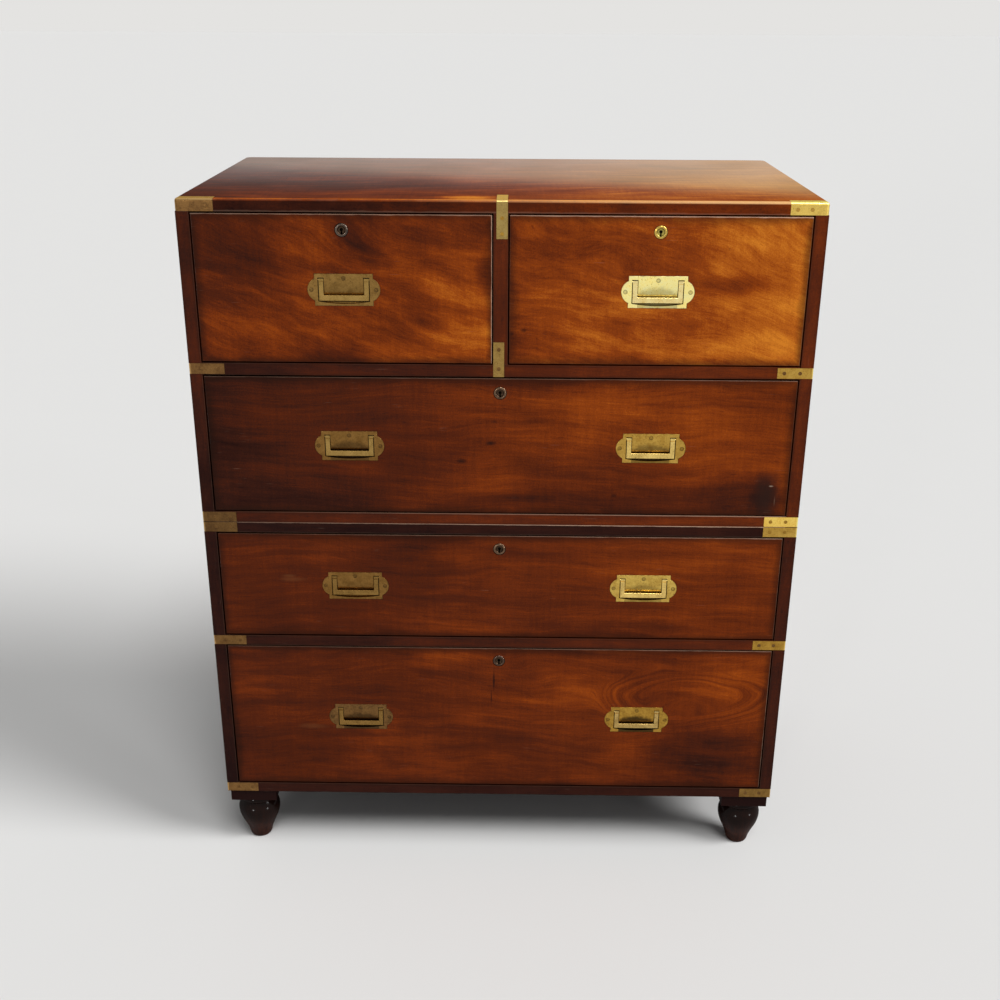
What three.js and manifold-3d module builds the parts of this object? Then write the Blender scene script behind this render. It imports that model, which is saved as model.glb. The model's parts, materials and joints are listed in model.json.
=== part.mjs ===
// Campaign chest of drawers in two halves, with sunk brass handles, brass straps and turned feet.
// Millimetres, +Z up, the front towards -Y, the origin on the floor under the middle of the case.

import * as THREE from 'three';
import { mergeVertices } from 'three/addons/utils/BufferGeometryUtils.js';
import Module from 'manifold-3d';

const wasm = await Module();
wasm.setup();

// Case
const caseWidth = 914;
const caseDepth = 495;
const sideThickness = 18.5;
const topThickness = 18;
const topArris = 3.5;
const boardThickness = 17;
const upperRailThickness = 18;
const dividerThickness = 21;
const backThickness = 10;
const railDepth = 62;
const runnerWidth = 45;
const dustPanelThickness = 7;

// Heights of the drawer openings, from the top row down
const topOpening = 219;
const secondOpening = 218;
const thirdOpening = 180;
const bottomOpening = 263;

// Pegs that keep the upper half in place
const pegRadius = 6;
const pegHeight = 12;
const pegChamfer = 1.5;
const pegInset = 48;

// Feet
const footHeight = 91;
const footRadius = 35;
const footInset = 42;
const footBlockHeight = 21;
const footBlockWidth = 76;
const spigotRadius = 12;
const spigotLength = 18;

// Drawers
const frontThickness = 20;
const frontSetback = 0.8;
const drawerTopGap = 2.8;
const drawerBottomGap = 2;
const drawerSideGap = 2;
const drawerRearGap = 14;
const trayThickness = 9;
const trayBackThickness = 9;
const trayBottomThickness = 6;
const trayBottomLift = 8;
const trayGroove = 4;
const trayTopDrop = 4;

// Locks and their bolts
const lockWidth = 64;
const lockHeight = 44;
const lockThickness = 11;
const keyholeDrop = 22.3;
const bossRadius = 9.8;
const bossProud = 0.6;
const bossSeat = 1.2;
const bossTubeRadius = 6.5;
const keyholeRadius = 2.3;
const keyholeRise = 1.6;
const keyholeSlotWidth = 2;
const keyholeSlotLength = 6.5;
const keyholeDepth = 7;
const boltWidth = 32;
const boltThickness = 6;
const boltHeight = 16;
const boltTravel = 7;
const mortiseClearance = 1;

// Handle plates, let into the drawer fronts
const longHandleOffset = 226;
const plateMargin = 2.8;
const plateThickness = 1.8;
const lobeRadius = 17.5;
const lobeReach = 10.2;
const panWall = 1.4;
const dishDepth = 9.4;
const dishRise = 11;
const dishFloorDrop = 9;
const dishFootGap = 2;
const fingerNotch = 2.4;

// Bails, hinged in the plates
const bailWidth = 72;
const bailRise = 16;
const bailDrop = 16;
const bailArmWidth = 7;
const bailBarHeight = 8.2;
const bailThickness = 3.2;
const bailSetback = 0.2;
const bailClearance = 0.5;
const bailPinRadius = 1.1;
const bailPinLength = 1.5;
const bailPinClearance = 0.3;

// Brass straps and corners
const strapLength = 52;
const strapMargin = 0.5;
const strapThickness = 1.5;
const cornerLength = 54;
const centreStrapShift = 1.7;
const centreStrapDrop = 54;
const lowerStrapShift = -2.3;

// Clearances, overrun of cuts and facets
const seatClearance = 0.3;
const cutOverrun = 1;
const arrisSteps = 2;
const lobeSteps = 7;
const dishSteps = 5;
const notchSteps = 4;
const pinSides = 8;
const pegSides = 8;
const bossSides = 16;
const footSides = 16;

// Finishes
const mahoganyColour = 0x5a2412;
const carcaseColour = 0x40191a;
const secondaryColour = 0x8a5a35;
const footColour = 0x1e120e;
const brassColour = 0xb8953f;
const lockColour = 0x6f6043;
const woodRoughness = 0.35;
const drawerWoodRoughness = 0.7;
const brassRoughness = 0.35;

// Levels and planes that follow from the sizes above
const caseBottom = footHeight + footBlockHeight;
const bottomDrawerLevel = caseBottom + boardThickness;
const lowerRailLevel = bottomDrawerLevel + bottomOpening;
const thirdDrawerLevel = lowerRailLevel + boardThickness;
const lowerTopLevel = thirdDrawerLevel + thirdOpening;
const splitLevel = lowerTopLevel + boardThickness;
const secondDrawerLevel = splitLevel + boardThickness;
const upperRailLevel = secondDrawerLevel + secondOpening;
const topDrawerLevel = upperRailLevel + upperRailThickness;
const topBoardLevel = topDrawerLevel + topOpening;
const caseTop = topBoardLevel + topThickness;
const halfWidth = caseWidth / 2;
const halfInside = halfWidth - sideThickness;
const halfDivider = dividerThickness / 2;
const frontPlane = -caseDepth / 2;
const rearPlane = caseDepth / 2;
const backPanelPlane = rearPlane - backThickness;
const drawerFrontPlane = frontPlane + frontSetback;
const drawerFrontRear = drawerFrontPlane + frontThickness;
const trayRear = backPanelPlane - drawerRearGap;
const lockRear = drawerFrontRear - seatClearance;
const lockFront = lockRear - lockThickness;
const boltPlane = (lockFront + lockRear) / 2;
const mortiseDepth = boltTravel - drawerTopGap + mortiseClearance;
const strapWidth = boardThickness - strapMargin - strapMargin;
const leftToRight = [-1, 1];

// Sizes of the handle plate that follow from the bail it holds
const halfPan = bailWidth / 2 + bailPinLength + bailPinClearance + panWall;
const panRise = bailRise + bailClearance + panWall;
const panDrop = bailDrop + bailClearance + fingerNotch + panWall;
const panDepth = dishDepth + panWall;
const dishWallDrop = bailDrop + dishFootGap;
const halfPlateBody = halfPan + plateMargin;
const halfPlateHeight = panDrop + plateMargin;
const bailPivotY = bailSetback + bailThickness / 2;
const bailPivotRise = bailRise - bailThickness / 2;

// Solids from three.js geometries

function solidOf(geometry) {
  geometry.deleteAttribute('normal');
  geometry.deleteAttribute('uv');
  const merged = mergeVertices(geometry);
  const vertProperties = new Float32Array(merged.attributes.position.array);
  const triVerts = new Uint32Array(merged.index.array);
  return new wasm.Manifold(new wasm.Mesh({ numProp: 3, vertProperties, triVerts }));
}

function geometryOf(solid) {
  const mesh = solid.getMesh();
  const geometry = new THREE.BufferGeometry();
  geometry.setAttribute('position', new THREE.Float32BufferAttribute(mesh.vertProperties, 3));
  geometry.setIndex(Array.from(mesh.triVerts));
  geometry.computeVertexNormals();
  return geometry;
}

function block(xRange, yRange, zRange) {
  const geometry = new THREE.BoxGeometry();
  const corners = geometry.attributes.position;
  const end = (range, value) => (value < 0 ? Math.min(...range) : Math.max(...range));
  for (let index = 0; index < corners.count; index += 1) {
    const x = end(xRange, corners.getX(index));
    const y = end(yRange, corners.getY(index));
    const z = end(zRange, corners.getZ(index));
    corners.setXYZ(index, x, y, z);
  }
  return solidOf(geometry);
}

// A shape drawn as seen from the front, pushed back from one y plane to another
function pushedBack(shape, yRange, steps) {
  const [near, far] = yRange;
  const geometry = new THREE.ExtrudeGeometry(shape, {
    depth: far - near,
    bevelEnabled: false,
    curveSegments: steps,
  });
  geometry.rotateX(Math.PI / 2);
  geometry.translate(0, far, 0);
  return solidOf(geometry);
}

// A shape drawn as y and z, run across from one x to another
function runAcross(shape, xRange, steps) {
  const [left, right] = xRange;
  const geometry = new THREE.ExtrudeGeometry(shape, {
    depth: right - left,
    bevelEnabled: false,
    curveSegments: steps,
  });
  const across = new THREE.Vector3(1, 0, 0);
  const back = new THREE.Vector3(0, 1, 0);
  const up = new THREE.Vector3(0, 0, 1);
  geometry.applyMatrix4(new THREE.Matrix4().makeBasis(back, up, across));
  geometry.translate(left, 0, 0);
  return solidOf(geometry);
}

function uprightCylinder(radius, x, y, zRange, sides) {
  const [low, high] = zRange;
  const geometry = new THREE.CylinderGeometry(radius, radius, high - low, sides);
  geometry.rotateX(Math.PI / 2);
  geometry.translate(x, y, (low + high) / 2);
  return solidOf(geometry);
}

function cylinderAcross(radius, xRange, y, z, sides) {
  const [left, right] = xRange;
  const geometry = new THREE.CylinderGeometry(radius, radius, right - left, sides);
  geometry.rotateZ(Math.PI / 2);
  geometry.translate((left + right) / 2, y, z);
  return solidOf(geometry);
}

function cylinderBack(radius, x, yRange, z, sides) {
  const [near, far] = yRange;
  const geometry = new THREE.CylinderGeometry(radius, radius, far - near, sides);
  geometry.translate(x, (near + far) / 2, z);
  return solidOf(geometry);
}

// The range between two distances from the middle, on the left or on the right
function sided(side, near, far) {
  return [Math.min(side * near, side * far), Math.max(side * near, side * far)];
}

function lessAll(solid, cutters) {
  return cutters.reduce((rest, cutter) => rest.subtract(cutter), solid);
}

function joined(solids) {
  return solids.reduce((whole, solid) => whole.add(solid));
}

// Finishes of the pieces

function finish(color, roughness, metalness) {
  return new THREE.MeshStandardMaterial({ color, roughness, metalness });
}

const mahogany = () => finish(mahoganyColour, woodRoughness, 0);
const carcaseWood = () => finish(carcaseColour, woodRoughness, 0);
const drawerWood = () => finish(secondaryColour, drawerWoodRoughness, 0);
const polishedBlack = () => finish(footColour, brassRoughness, 0);
const brass = () => finish(brassColour, brassRoughness, 1);
const lockBrass = () => finish(lockColour, brassRoughness, 1);

const chest = new THREE.Group();

function place(name, solid, material, position = new THREE.Vector3()) {
  const mesh = new THREE.Mesh(geometryOf(solid), material);
  mesh.name = name;
  mesh.position.copy(position);
  chest.add(mesh);
}

// Straps that wrap a front corner of the case, one leg on the front and one on the side

function strapBand(side, length, width, level, grow) {
  const outer = side * (halfWidth + grow);
  const frontEnd = side * (halfWidth - length - grow);
  const sideSkin = side * (halfWidth - strapThickness - grow);
  const zRange = [level - grow, level + width + grow];
  const frontSkin = frontPlane + strapThickness + grow;
  const sideEnd = frontPlane + length + grow;
  const frontLeg = block([outer, frontEnd], [frontPlane - grow, frontSkin], zRange);
  const sideLeg = block([outer, sideSkin], [frontPlane - grow, sideEnd], zRange);
  return frontLeg.add(sideLeg);
}

function strapOn(side, boardLevel, thickness, grow) {
  const level = boardLevel + (thickness - strapWidth) / 2;
  return strapBand(side, strapLength, strapWidth, level, grow);
}

const seatOn = (side, boardLevel, thickness) => strapOn(side, boardLevel, thickness, seatClearance);

// The top board, with its upper edges rounded on the front and both ends

function topBlank(inset) {
  const radius = topArris - inset;
  const halfBlank = halfWidth - inset - radius;
  const near = frontPlane + inset + radius;
  const far = rearPlane + radius;
  const outline = new THREE.Shape();
  outline.moveTo(-halfBlank, near);
  outline.lineTo(halfBlank, near);
  outline.lineTo(halfBlank, far);
  outline.lineTo(-halfBlank, far);
  outline.closePath();
  const geometry = new THREE.ExtrudeGeometry(outline, {
    depth: topThickness,
    bevelThickness: radius,
    bevelSize: radius,
    bevelSegments: arrisSteps,
  });
  geometry.translate(0, 0, caseTop - inset - radius - topThickness);
  const keep = block(
    [-halfWidth - cutOverrun, halfWidth + cutOverrun],
    [frontPlane - cutOverrun, rearPlane],
    [topBoardLevel, caseTop + cutOverrun],
  );
  return solidOf(geometry).intersect(keep);
}

// The part of the top board that a three-way brass corner covers
function cornerZone(side, grow) {
  const outer = side * (halfWidth + cutOverrun);
  const frontEnd = side * (halfWidth - cornerLength - grow);
  const sideWidth = side * (halfWidth - strapWidth - grow);
  const near = frontPlane - cutOverrun;
  const zRange = [topBoardLevel - cutOverrun, caseTop + cutOverrun];
  const frontLeg = block([outer, frontEnd], [near, frontPlane + strapWidth + grow], zRange);
  const sideLeg = block([outer, sideWidth], [near, frontPlane + cornerLength + grow], zRange);
  return frontLeg.add(sideLeg);
}

function centreStrapZone(grow) {
  const halfStrap = strapWidth / 2 + grow;
  return block(
    [centreStrapShift - halfStrap, centreStrapShift + halfStrap],
    [frontPlane - cutOverrun, frontPlane + strapLength + grow],
    [topBoardLevel - cutOverrun, caseTop + cutOverrun],
  );
}

// The centre strap's leg below the top board, down the front of the divider
function centreStrapLeg(grow) {
  const halfStrap = strapWidth / 2 + grow;
  return block(
    [centreStrapShift - halfStrap, centreStrapShift + halfStrap],
    [frontPlane - grow, frontPlane + strapThickness + grow],
    [caseTop - centreStrapDrop - grow, topBoardLevel + cutOverrun],
  );
}

// The lower centre strap, from the divider's foot down over the rail
function lowerStrapPlate(grow) {
  const halfStrap = strapWidth / 2 + grow;
  return block(
    [lowerStrapShift - halfStrap, lowerStrapShift + halfStrap],
    [frontPlane - grow, frontPlane + strapThickness + grow],
    [upperRailLevel - grow, upperRailLevel + strapLength + grow],
  );
}

function boltMortise(x, level) {
  const halfMortise = boltWidth / 2 + mortiseClearance;
  const halfSlot = boltThickness / 2 + mortiseClearance;
  return block(
    [x - halfMortise, x + halfMortise],
    [boltPlane - halfSlot, boltPlane + halfSlot],
    [level - cutOverrun, level + mortiseDepth],
  );
}

// Drawers, with the opening that each one fills

const shortDrawerInner = halfDivider + drawerSideGap;
const longDrawerHalf = halfInside - drawerSideGap;
const shortDrawerCentre = (shortDrawerInner + longDrawerHalf) / 2;
const longHandles = leftToRight.map((side) => side * longHandleOffset);

function shortDrawer(name, side) {
  return {
    name,
    xRange: [side * shortDrawerInner, side * longDrawerHalf],
    level: topDrawerLevel,
    opening: topOpening,
    lockX: side * shortDrawerCentre,
    handleXs: [side * shortDrawerCentre],
  };
}

function longDrawer(name, level, opening) {
  const xRange = [-longDrawerHalf, longDrawerHalf];
  return { name, xRange, level, opening, lockX: 0, handleXs: longHandles };
}

const shortDrawers = [
  shortDrawer('short_drawer_left', -1),
  shortDrawer('short_drawer_right', 1),
];
const longDrawers = [
  longDrawer('long_drawer_upper', secondDrawerLevel, secondOpening),
  longDrawer('long_drawer_middle', thirdDrawerLevel, thirdOpening),
  longDrawer('long_drawer_lower', bottomDrawerLevel, bottomOpening),
];

const frontFoot = (drawer) => drawer.level + drawerBottomGap;
const frontHead = (drawer) => drawer.level + drawer.opening - drawerTopGap;
const handleLevel = (drawer) => (frontFoot(drawer) + frontHead(drawer)) / 2;

// Upper half of the case

function sideBoard(side, zRange, cutters) {
  const board = block([side * halfWidth, side * halfInside], [frontPlane, rearPlane], zRange);
  return lessAll(board, cutters);
}

function flatBoard(level, cutters) {
  const board = block(
    [-halfInside, halfInside],
    [frontPlane, backPanelPlane],
    [level, level + boardThickness],
  );
  return lessAll(board, cutters);
}

function backPanel(zRange) {
  return block([-halfInside, halfInside], [backPanelPlane, rearPlane], zRange);
}

// A front rail with the two drawer runners and the dust panel that are glued to it
function dustBoard(level, thickness, cutters) {
  const zRange = [level, level + thickness];
  const rail = block([-halfInside, halfInside], [frontPlane, frontPlane + railDepth], zRange);
  const runnerReach = [frontPlane + railDepth - cutOverrun, backPanelPlane];
  const runners = leftToRight.map((side) => {
    const xRange = [side * halfInside, side * (halfInside - runnerWidth)];
    return block(xRange, runnerReach, zRange);
  });
  const halfPanel = halfInside - runnerWidth + cutOverrun;
  const panelLevel = level + thickness - dustPanelThickness;
  const panelRange = [panelLevel, level + thickness];
  const panel = block([-halfPanel, halfPanel], runnerReach, panelRange);
  return lessAll(joined([rail, ...runners, panel]), cutters);
}

function pegPlaces() {
  const halfX = halfWidth - pegInset;
  const halfY = rearPlane - pegInset;
  return leftToRight.flatMap((side) => leftToRight.map((end) => [side * halfX, end * halfY]));
}

function pegHoles() {
  const zRange = [splitLevel - cutOverrun, splitLevel + pegHeight + seatClearance];
  const radius = pegRadius + seatClearance;
  return pegPlaces().map(([x, y]) => uprightCylinder(radius, x, y, zRange, pegSides));
}

function topBoard() {
  const skin = strapThickness + seatClearance;
  const corners = leftToRight.map((side) => cornerZone(side, seatClearance));
  const zones = [...corners, centreStrapZone(seatClearance)];
  const blank = topBlank(0);
  const rebate = joined(zones).subtract(topBlank(skin));
  const mortises = shortDrawers.map((drawer) => boltMortise(drawer.lockX, topBoardLevel));
  return lessAll(blank, [rebate, ...mortises]);
}

function dividerBoard() {
  const board = block(
    [-halfDivider, halfDivider],
    [frontPlane, backPanelPlane],
    [topDrawerLevel, topBoardLevel],
  );
  return lessAll(board, [centreStrapLeg(seatClearance), lowerStrapPlate(seatClearance)]);
}

function placeUpperHalf() {
  for (const [label, side] of [['left', -1], ['right', 1]]) {
    const cutters = [
      seatOn(side, splitLevel, boardThickness),
      seatOn(side, upperRailLevel, upperRailThickness),
    ];
    const board = sideBoard(side, [splitLevel, topBoardLevel], cutters);
    place(`upper_side_${label}`, board, carcaseWood());
  }
  const splitSeats = leftToRight.map((side) => seatOn(side, splitLevel, boardThickness));
  const railSeats = leftToRight.map((side) => seatOn(side, upperRailLevel, upperRailThickness));
  const railCuts = [...railSeats, lowerStrapPlate(seatClearance), boltMortise(0, upperRailLevel)];
  const rail = dustBoard(upperRailLevel, upperRailThickness, railCuts);
  place('upper_top', topBoard(), mahogany());
  place('upper_bottom', flatBoard(splitLevel, [...splitSeats, ...pegHoles()]), carcaseWood());
  place('upper_back', backPanel([splitLevel, topBoardLevel]), drawerWood());
  place('upper_rail', rail, carcaseWood());
  place('upper_divider', dividerBoard(), carcaseWood());
}

// Lower half of the case

// A locating peg glued into the lower half, with a chamfered head
function peg(x, y) {
  const tip = pegRadius - pegChamfer;
  const profile = [
    new THREE.Vector2(0, -cutOverrun),
    new THREE.Vector2(pegRadius, -cutOverrun),
    new THREE.Vector2(pegRadius, pegHeight - pegChamfer),
    new THREE.Vector2(tip, pegHeight),
    new THREE.Vector2(0, pegHeight),
  ];
  const geometry = new THREE.LatheGeometry(profile, pegSides);
  geometry.rotateX(Math.PI / 2);
  geometry.translate(x, y, splitLevel);
  return solidOf(geometry);
}

function footPlaces() {
  const halfX = halfWidth - footInset;
  const halfY = rearPlane - footInset;
  const rows = [['front', -halfY], ['back', halfY]];
  const columns = [['left', -halfX], ['right', halfX]];
  return rows.flatMap(([row, y]) => columns.map(([column, x]) => ({ name: `foot_${row}_${column}`, x, y })));
}

// The bottom board with the four corner blocks glued under it, bored for the feet
function bottomBoard() {
  const seats = leftToRight.map((side) => seatOn(side, caseBottom, boardThickness));
  const board = flatBoard(caseBottom, seats);
  const halfBlock = footBlockWidth / 2;
  const blockRange = [footHeight, caseBottom];
  const blocks = footPlaces().map(({ x, y }) => {
    const xRange = [x - halfBlock, x + halfBlock];
    return block(xRange, [y - halfBlock, y + halfBlock], blockRange);
  });
  const boreRange = [footHeight - cutOverrun, footHeight + spigotLength + seatClearance];
  const boreRadius = spigotRadius + seatClearance;
  const bores = footPlaces().map(({ x, y }) => uprightCylinder(boreRadius, x, y, boreRange, footSides));
  return lessAll(joined([board, ...blocks]), bores);
}

// Radius and height of the turned foot, as shares of its widest radius and its height
const footProfileShares = [
  [0.44, 0],
  [0.53, 0.025],
  [0.575, 0.09],
  [0.6, 0.19],
  [0.67, 0.28],
  [0.84, 0.39],
  [0.97, 0.5],
  [1, 0.6],
  [0.975, 0.7],
  [0.88, 0.8],
  [0.8, 0.845],
  [0.86, 0.87],
  [0.89, 0.91],
  [0.86, 0.955],
  [0.8, 1],
];

function turnedFoot() {
  const seat = footHeight - seatClearance;
  const profile = [new THREE.Vector2(0, 0)];
  for (const [radiusShare, heightShare] of footProfileShares) {
    profile.push(new THREE.Vector2(radiusShare * footRadius, heightShare * seat));
  }
  profile.push(new THREE.Vector2(spigotRadius, seat));
  profile.push(new THREE.Vector2(spigotRadius, footHeight + spigotLength));
  profile.push(new THREE.Vector2(0, footHeight + spigotLength));
  const geometry = new THREE.LatheGeometry(profile, footSides);
  geometry.rotateX(Math.PI / 2);
  return solidOf(geometry);
}

function placeLowerHalf() {
  for (const [label, side] of [['left', -1], ['right', 1]]) {
    const cutters = [
      seatOn(side, caseBottom, boardThickness),
      seatOn(side, lowerRailLevel, boardThickness),
      seatOn(side, lowerTopLevel, boardThickness),
    ];
    const board = sideBoard(side, [caseBottom, splitLevel], cutters);
    place(`lower_side_${label}`, board, carcaseWood());
  }
  const railSeats = leftToRight.map((side) => seatOn(side, lowerRailLevel, boardThickness));
  const railCuts = [...railSeats, boltMortise(0, lowerRailLevel)];
  const topSeats = leftToRight.map((side) => seatOn(side, lowerTopLevel, boardThickness));
  const topCuts = [...topSeats, boltMortise(0, lowerTopLevel)];
  const pegs = pegPlaces().map(([x, y]) => peg(x, y));
  place('lower_top', joined([flatBoard(lowerTopLevel, topCuts), ...pegs]), carcaseWood());
  place('lower_rail', dustBoard(lowerRailLevel, boardThickness, railCuts), carcaseWood());
  place('lower_bottom', bottomBoard(), carcaseWood());
  place('lower_back', backPanel([caseBottom, splitLevel]), drawerWood());
  for (const { name, x, y } of footPlaces()) {
    place(name, turnedFoot(), polishedBlack(), new THREE.Vector3(x, y, 0));
  }
}

// Brass corners and straps

function topCorner(side) {
  return topBlank(0).intersect(cornerZone(side, 0)).subtract(topBlank(strapThickness));
}

function topCentreStrap() {
  const cap = topBlank(0).intersect(centreStrapZone(0)).subtract(topBlank(strapThickness));
  return cap.add(centreStrapLeg(0));
}

function placeBrass() {
  for (const [label, side] of [['left', -1], ['right', 1]]) {
    place(`corner_top_${label}`, topCorner(side), brass());
    const upperStrap = strapOn(side, splitLevel, boardThickness, 0);
    const lowerStrap = strapOn(side, lowerTopLevel, boardThickness, 0);
    place(`strap_split_upper_${label}`, upperStrap, brass());
    place(`strap_split_lower_${label}`, lowerStrap, brass());
  }
  place('strap_top_centre', topCentreStrap(), brass());
}

// Sunk handles: outlines are drawn about the middle of the plate's front face

function plateOutline(grow) {
  const halfBody = halfPlateBody + grow;
  const halfHeight = halfPlateHeight + grow;
  const radius = lobeRadius + grow;
  const lobeCentre = halfPlateBody + lobeReach - lobeRadius;
  const angle = Math.acos((halfBody - lobeCentre) / radius);
  const outline = new THREE.Shape();
  outline.moveTo(-halfBody, -halfHeight);
  outline.lineTo(halfBody, -halfHeight);
  outline.absarc(lobeCentre, 0, radius, -angle, angle, false);
  outline.lineTo(halfBody, halfHeight);
  outline.lineTo(-halfBody, halfHeight);
  outline.absarc(-lobeCentre, 0, radius, Math.PI - angle, Math.PI + angle, false);
  outline.closePath();
  return outline;
}

function pan(grow, near) {
  const reach = halfPan + grow;
  return block([-reach, reach], [near, panDepth + grow], [-panDrop - grow, panRise + grow]);
}

// The shallow slot that the bail lies in, with a finger notch along its lower edge
function bailSlot() {
  const outer = bailWidth / 2 + bailClearance;
  const inner = bailWidth / 2 - bailArmWidth - bailClearance;
  const head = bailRise + bailClearance;
  const foot = -bailDrop - bailClearance;
  const barTop = -bailDrop + bailBarHeight + bailClearance;
  const outline = new THREE.Shape();
  outline.moveTo(-outer, foot);
  outline.quadraticCurveTo(0, foot - fingerNotch - fingerNotch, outer, foot);
  outline.lineTo(outer, head);
  outline.lineTo(inner, head);
  outline.lineTo(inner, barTop);
  outline.lineTo(-inner, barTop);
  outline.lineTo(-inner, head);
  outline.lineTo(-outer, head);
  outline.closePath();
  const floor = bailSetback + bailThickness + bailClearance;
  return pushedBack(outline, [-cutOverrun, floor], notchSteps);
}

// The finger dish between the bail's arms: a curve that deepens downwards, then an upright wall
function fingerDish() {
  const run = dishRise + dishFloorDrop;
  const radius = (run * run + dishDepth * dishDepth) / (dishDepth + dishDepth);
  const centreY = dishDepth - radius;
  const startAngle = Math.atan2(run, -centreY);
  const outline = new THREE.Shape();
  outline.moveTo(-cutOverrun, dishRise);
  outline.lineTo(0, dishRise);
  outline.absarc(centreY, -dishFloorDrop, radius, startAngle, 0, true);
  outline.lineTo(dishDepth, -dishWallDrop);
  outline.lineTo(-cutOverrun, -dishWallDrop);
  outline.closePath();
  const halfDish = bailWidth / 2 - bailArmWidth;
  return runAcross(outline, [-halfDish, halfDish], dishSteps);
}

function pinBores() {
  const inner = bailWidth / 2 - cutOverrun;
  const outer = bailWidth / 2 + bailPinLength + bailPinClearance;
  const radius = bailPinRadius + bailPinClearance;
  return leftToRight.map((side) => {
    return cylinderAcross(radius, sided(side, inner, outer), bailPivotY, bailPivotRise, pinSides);
  });
}

function handlePlate() {
  const flange = pushedBack(plateOutline(0), [0, plateThickness], lobeSteps);
  const body = flange.add(pan(0, plateThickness / 2));
  return lessAll(body, [bailSlot(), fingerDish(), ...pinBores()]);
}

// What a handle plate needs cut out of the drawer front
function plateSeat() {
  const flangeSeat = pushedBack(
    plateOutline(seatClearance),
    [-cutOverrun, plateThickness + seatClearance],
    lobeSteps,
  );
  return flangeSeat.add(pan(seatClearance, 0));
}

// A squared U with rounded knuckles and a short pin on the outside of each arm
function bail() {
  const outer = bailWidth / 2;
  const inner = outer - bailArmWidth;
  const yRange = [bailSetback, bailSetback + bailThickness];
  const bar = block([-outer, outer], yRange, [-bailDrop, -bailDrop + bailBarHeight]);
  const parts = leftToRight.flatMap((side) => {
    const armRange = sided(side, inner, outer);
    const pinRange = sided(side, inner + bailPinLength, outer + bailPinLength);
    const arm = block(armRange, yRange, [-bailDrop, bailPivotRise]);
    const knuckle = cylinderAcross(bailThickness / 2, armRange, bailPivotY, bailPivotRise, pinSides);
    const pin = cylinderAcross(bailPinRadius, pinRange, bailPivotY, bailPivotRise, pinSides);
    return [arm, knuckle, pin];
  });
  return joined([bar, ...parts]);
}

// Locks, let into the back of the drawer fronts

function lockPocket(drawer) {
  const halfLock = lockWidth / 2 + seatClearance;
  const head = frontHead(drawer);
  const pocket = block(
    [drawer.lockX - halfLock, drawer.lockX + halfLock],
    [lockFront - seatClearance, drawerFrontRear + cutOverrun],
    [head - lockHeight - seatClearance, head + cutOverrun],
  );
  const keyLevel = head - keyholeDrop;
  const near = drawerFrontPlane - cutOverrun;
  const tubeBore = cylinderBack(
    bossTubeRadius + seatClearance,
    drawer.lockX,
    [near, lockFront],
    keyLevel,
    bossSides,
  );
  const bossBore = cylinderBack(
    bossRadius + seatClearance,
    drawer.lockX,
    [near, drawerFrontPlane + bossSeat + seatClearance],
    keyLevel,
    bossSides,
  );
  return joined([pocket, tubeBore, bossBore]);
}

function keyhole(drawer) {
  const keyLevel = frontHead(drawer) - keyholeDrop;
  const near = drawerFrontPlane - bossProud - cutOverrun;
  const yRange = [near, drawerFrontPlane + keyholeDepth];
  const round = cylinderBack(keyholeRadius, drawer.lockX, yRange, keyLevel + keyholeRise, bossSides);
  const halfSlot = keyholeSlotWidth / 2;
  const slot = block(
    [drawer.lockX - halfSlot, drawer.lockX + halfSlot],
    yRange,
    [keyLevel + keyholeRise - keyholeSlotLength, keyLevel + keyholeRise],
  );
  return round.add(slot);
}

function lockCase(drawer) {
  const halfLock = lockWidth / 2;
  const head = frontHead(drawer);
  const keyLevel = head - keyholeDrop;
  const body = block(
    [drawer.lockX - halfLock, drawer.lockX + halfLock],
    [lockFront, lockRear],
    [head - lockHeight, head],
  );
  const bossFront = drawerFrontPlane - bossProud;
  const tubeRange = [bossFront, lockFront + cutOverrun];
  const bossRange = [bossFront, drawerFrontPlane + bossSeat];
  const tube = cylinderBack(bossTubeRadius, drawer.lockX, tubeRange, keyLevel, bossSides);
  const boss = cylinderBack(bossRadius, drawer.lockX, bossRange, keyLevel, bossSides);
  const halfBolt = boltWidth / 2 + seatClearance;
  const halfSlot = boltThickness / 2 + seatClearance;
  const boltSlot = block(
    [drawer.lockX - halfBolt, drawer.lockX + halfBolt],
    [boltPlane - halfSlot, boltPlane + halfSlot],
    [head - boltHeight - seatClearance, head + cutOverrun],
  );
  return lessAll(joined([body, tube, boss]), [boltSlot, keyhole(drawer)]);
}

function lockBolt(drawer) {
  const halfBolt = boltWidth / 2;
  const halfThickness = boltThickness / 2;
  const head = frontHead(drawer);
  return block(
    [drawer.lockX - halfBolt, drawer.lockX + halfBolt],
    [boltPlane - halfThickness, boltPlane + halfThickness],
    [head - boltHeight, head],
  );
}

function drawerFront(drawer) {
  const blank = block(
    drawer.xRange,
    [drawerFrontPlane, drawerFrontRear],
    [frontFoot(drawer), frontHead(drawer)],
  );
  const seats = drawer.handleXs.map((x) => plateSeat().translate(x, drawerFrontPlane, handleLevel(drawer)));
  return lessAll(blank, [...seats, lockPocket(drawer)]);
}

// The drawer's two sides and back, with the bottom panel in its grooves
function drawerTray(drawer) {
  const [left, right] = [Math.min(...drawer.xRange), Math.max(...drawer.xRange)];
  const base = drawer.level + seatClearance;
  const zRange = [base, frontHead(drawer) - trayTopDrop];
  const yRange = [drawerFrontRear, trayRear];
  const leftSide = block([left, left + trayThickness], yRange, zRange);
  const rightSide = block([right - trayThickness, right], yRange, zRange);
  const back = block([left, right], [trayRear - trayBackThickness, trayRear], zRange);
  const panelBase = base + trayBottomLift;
  const panel = block(
    [left + trayThickness - trayGroove, right - trayThickness + trayGroove],
    [drawerFrontRear, trayRear - trayBackThickness + trayGroove],
    [panelBase, panelBase + trayBottomThickness],
  );
  return joined([leftSide, rightSide, back, panel]);
}

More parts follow.
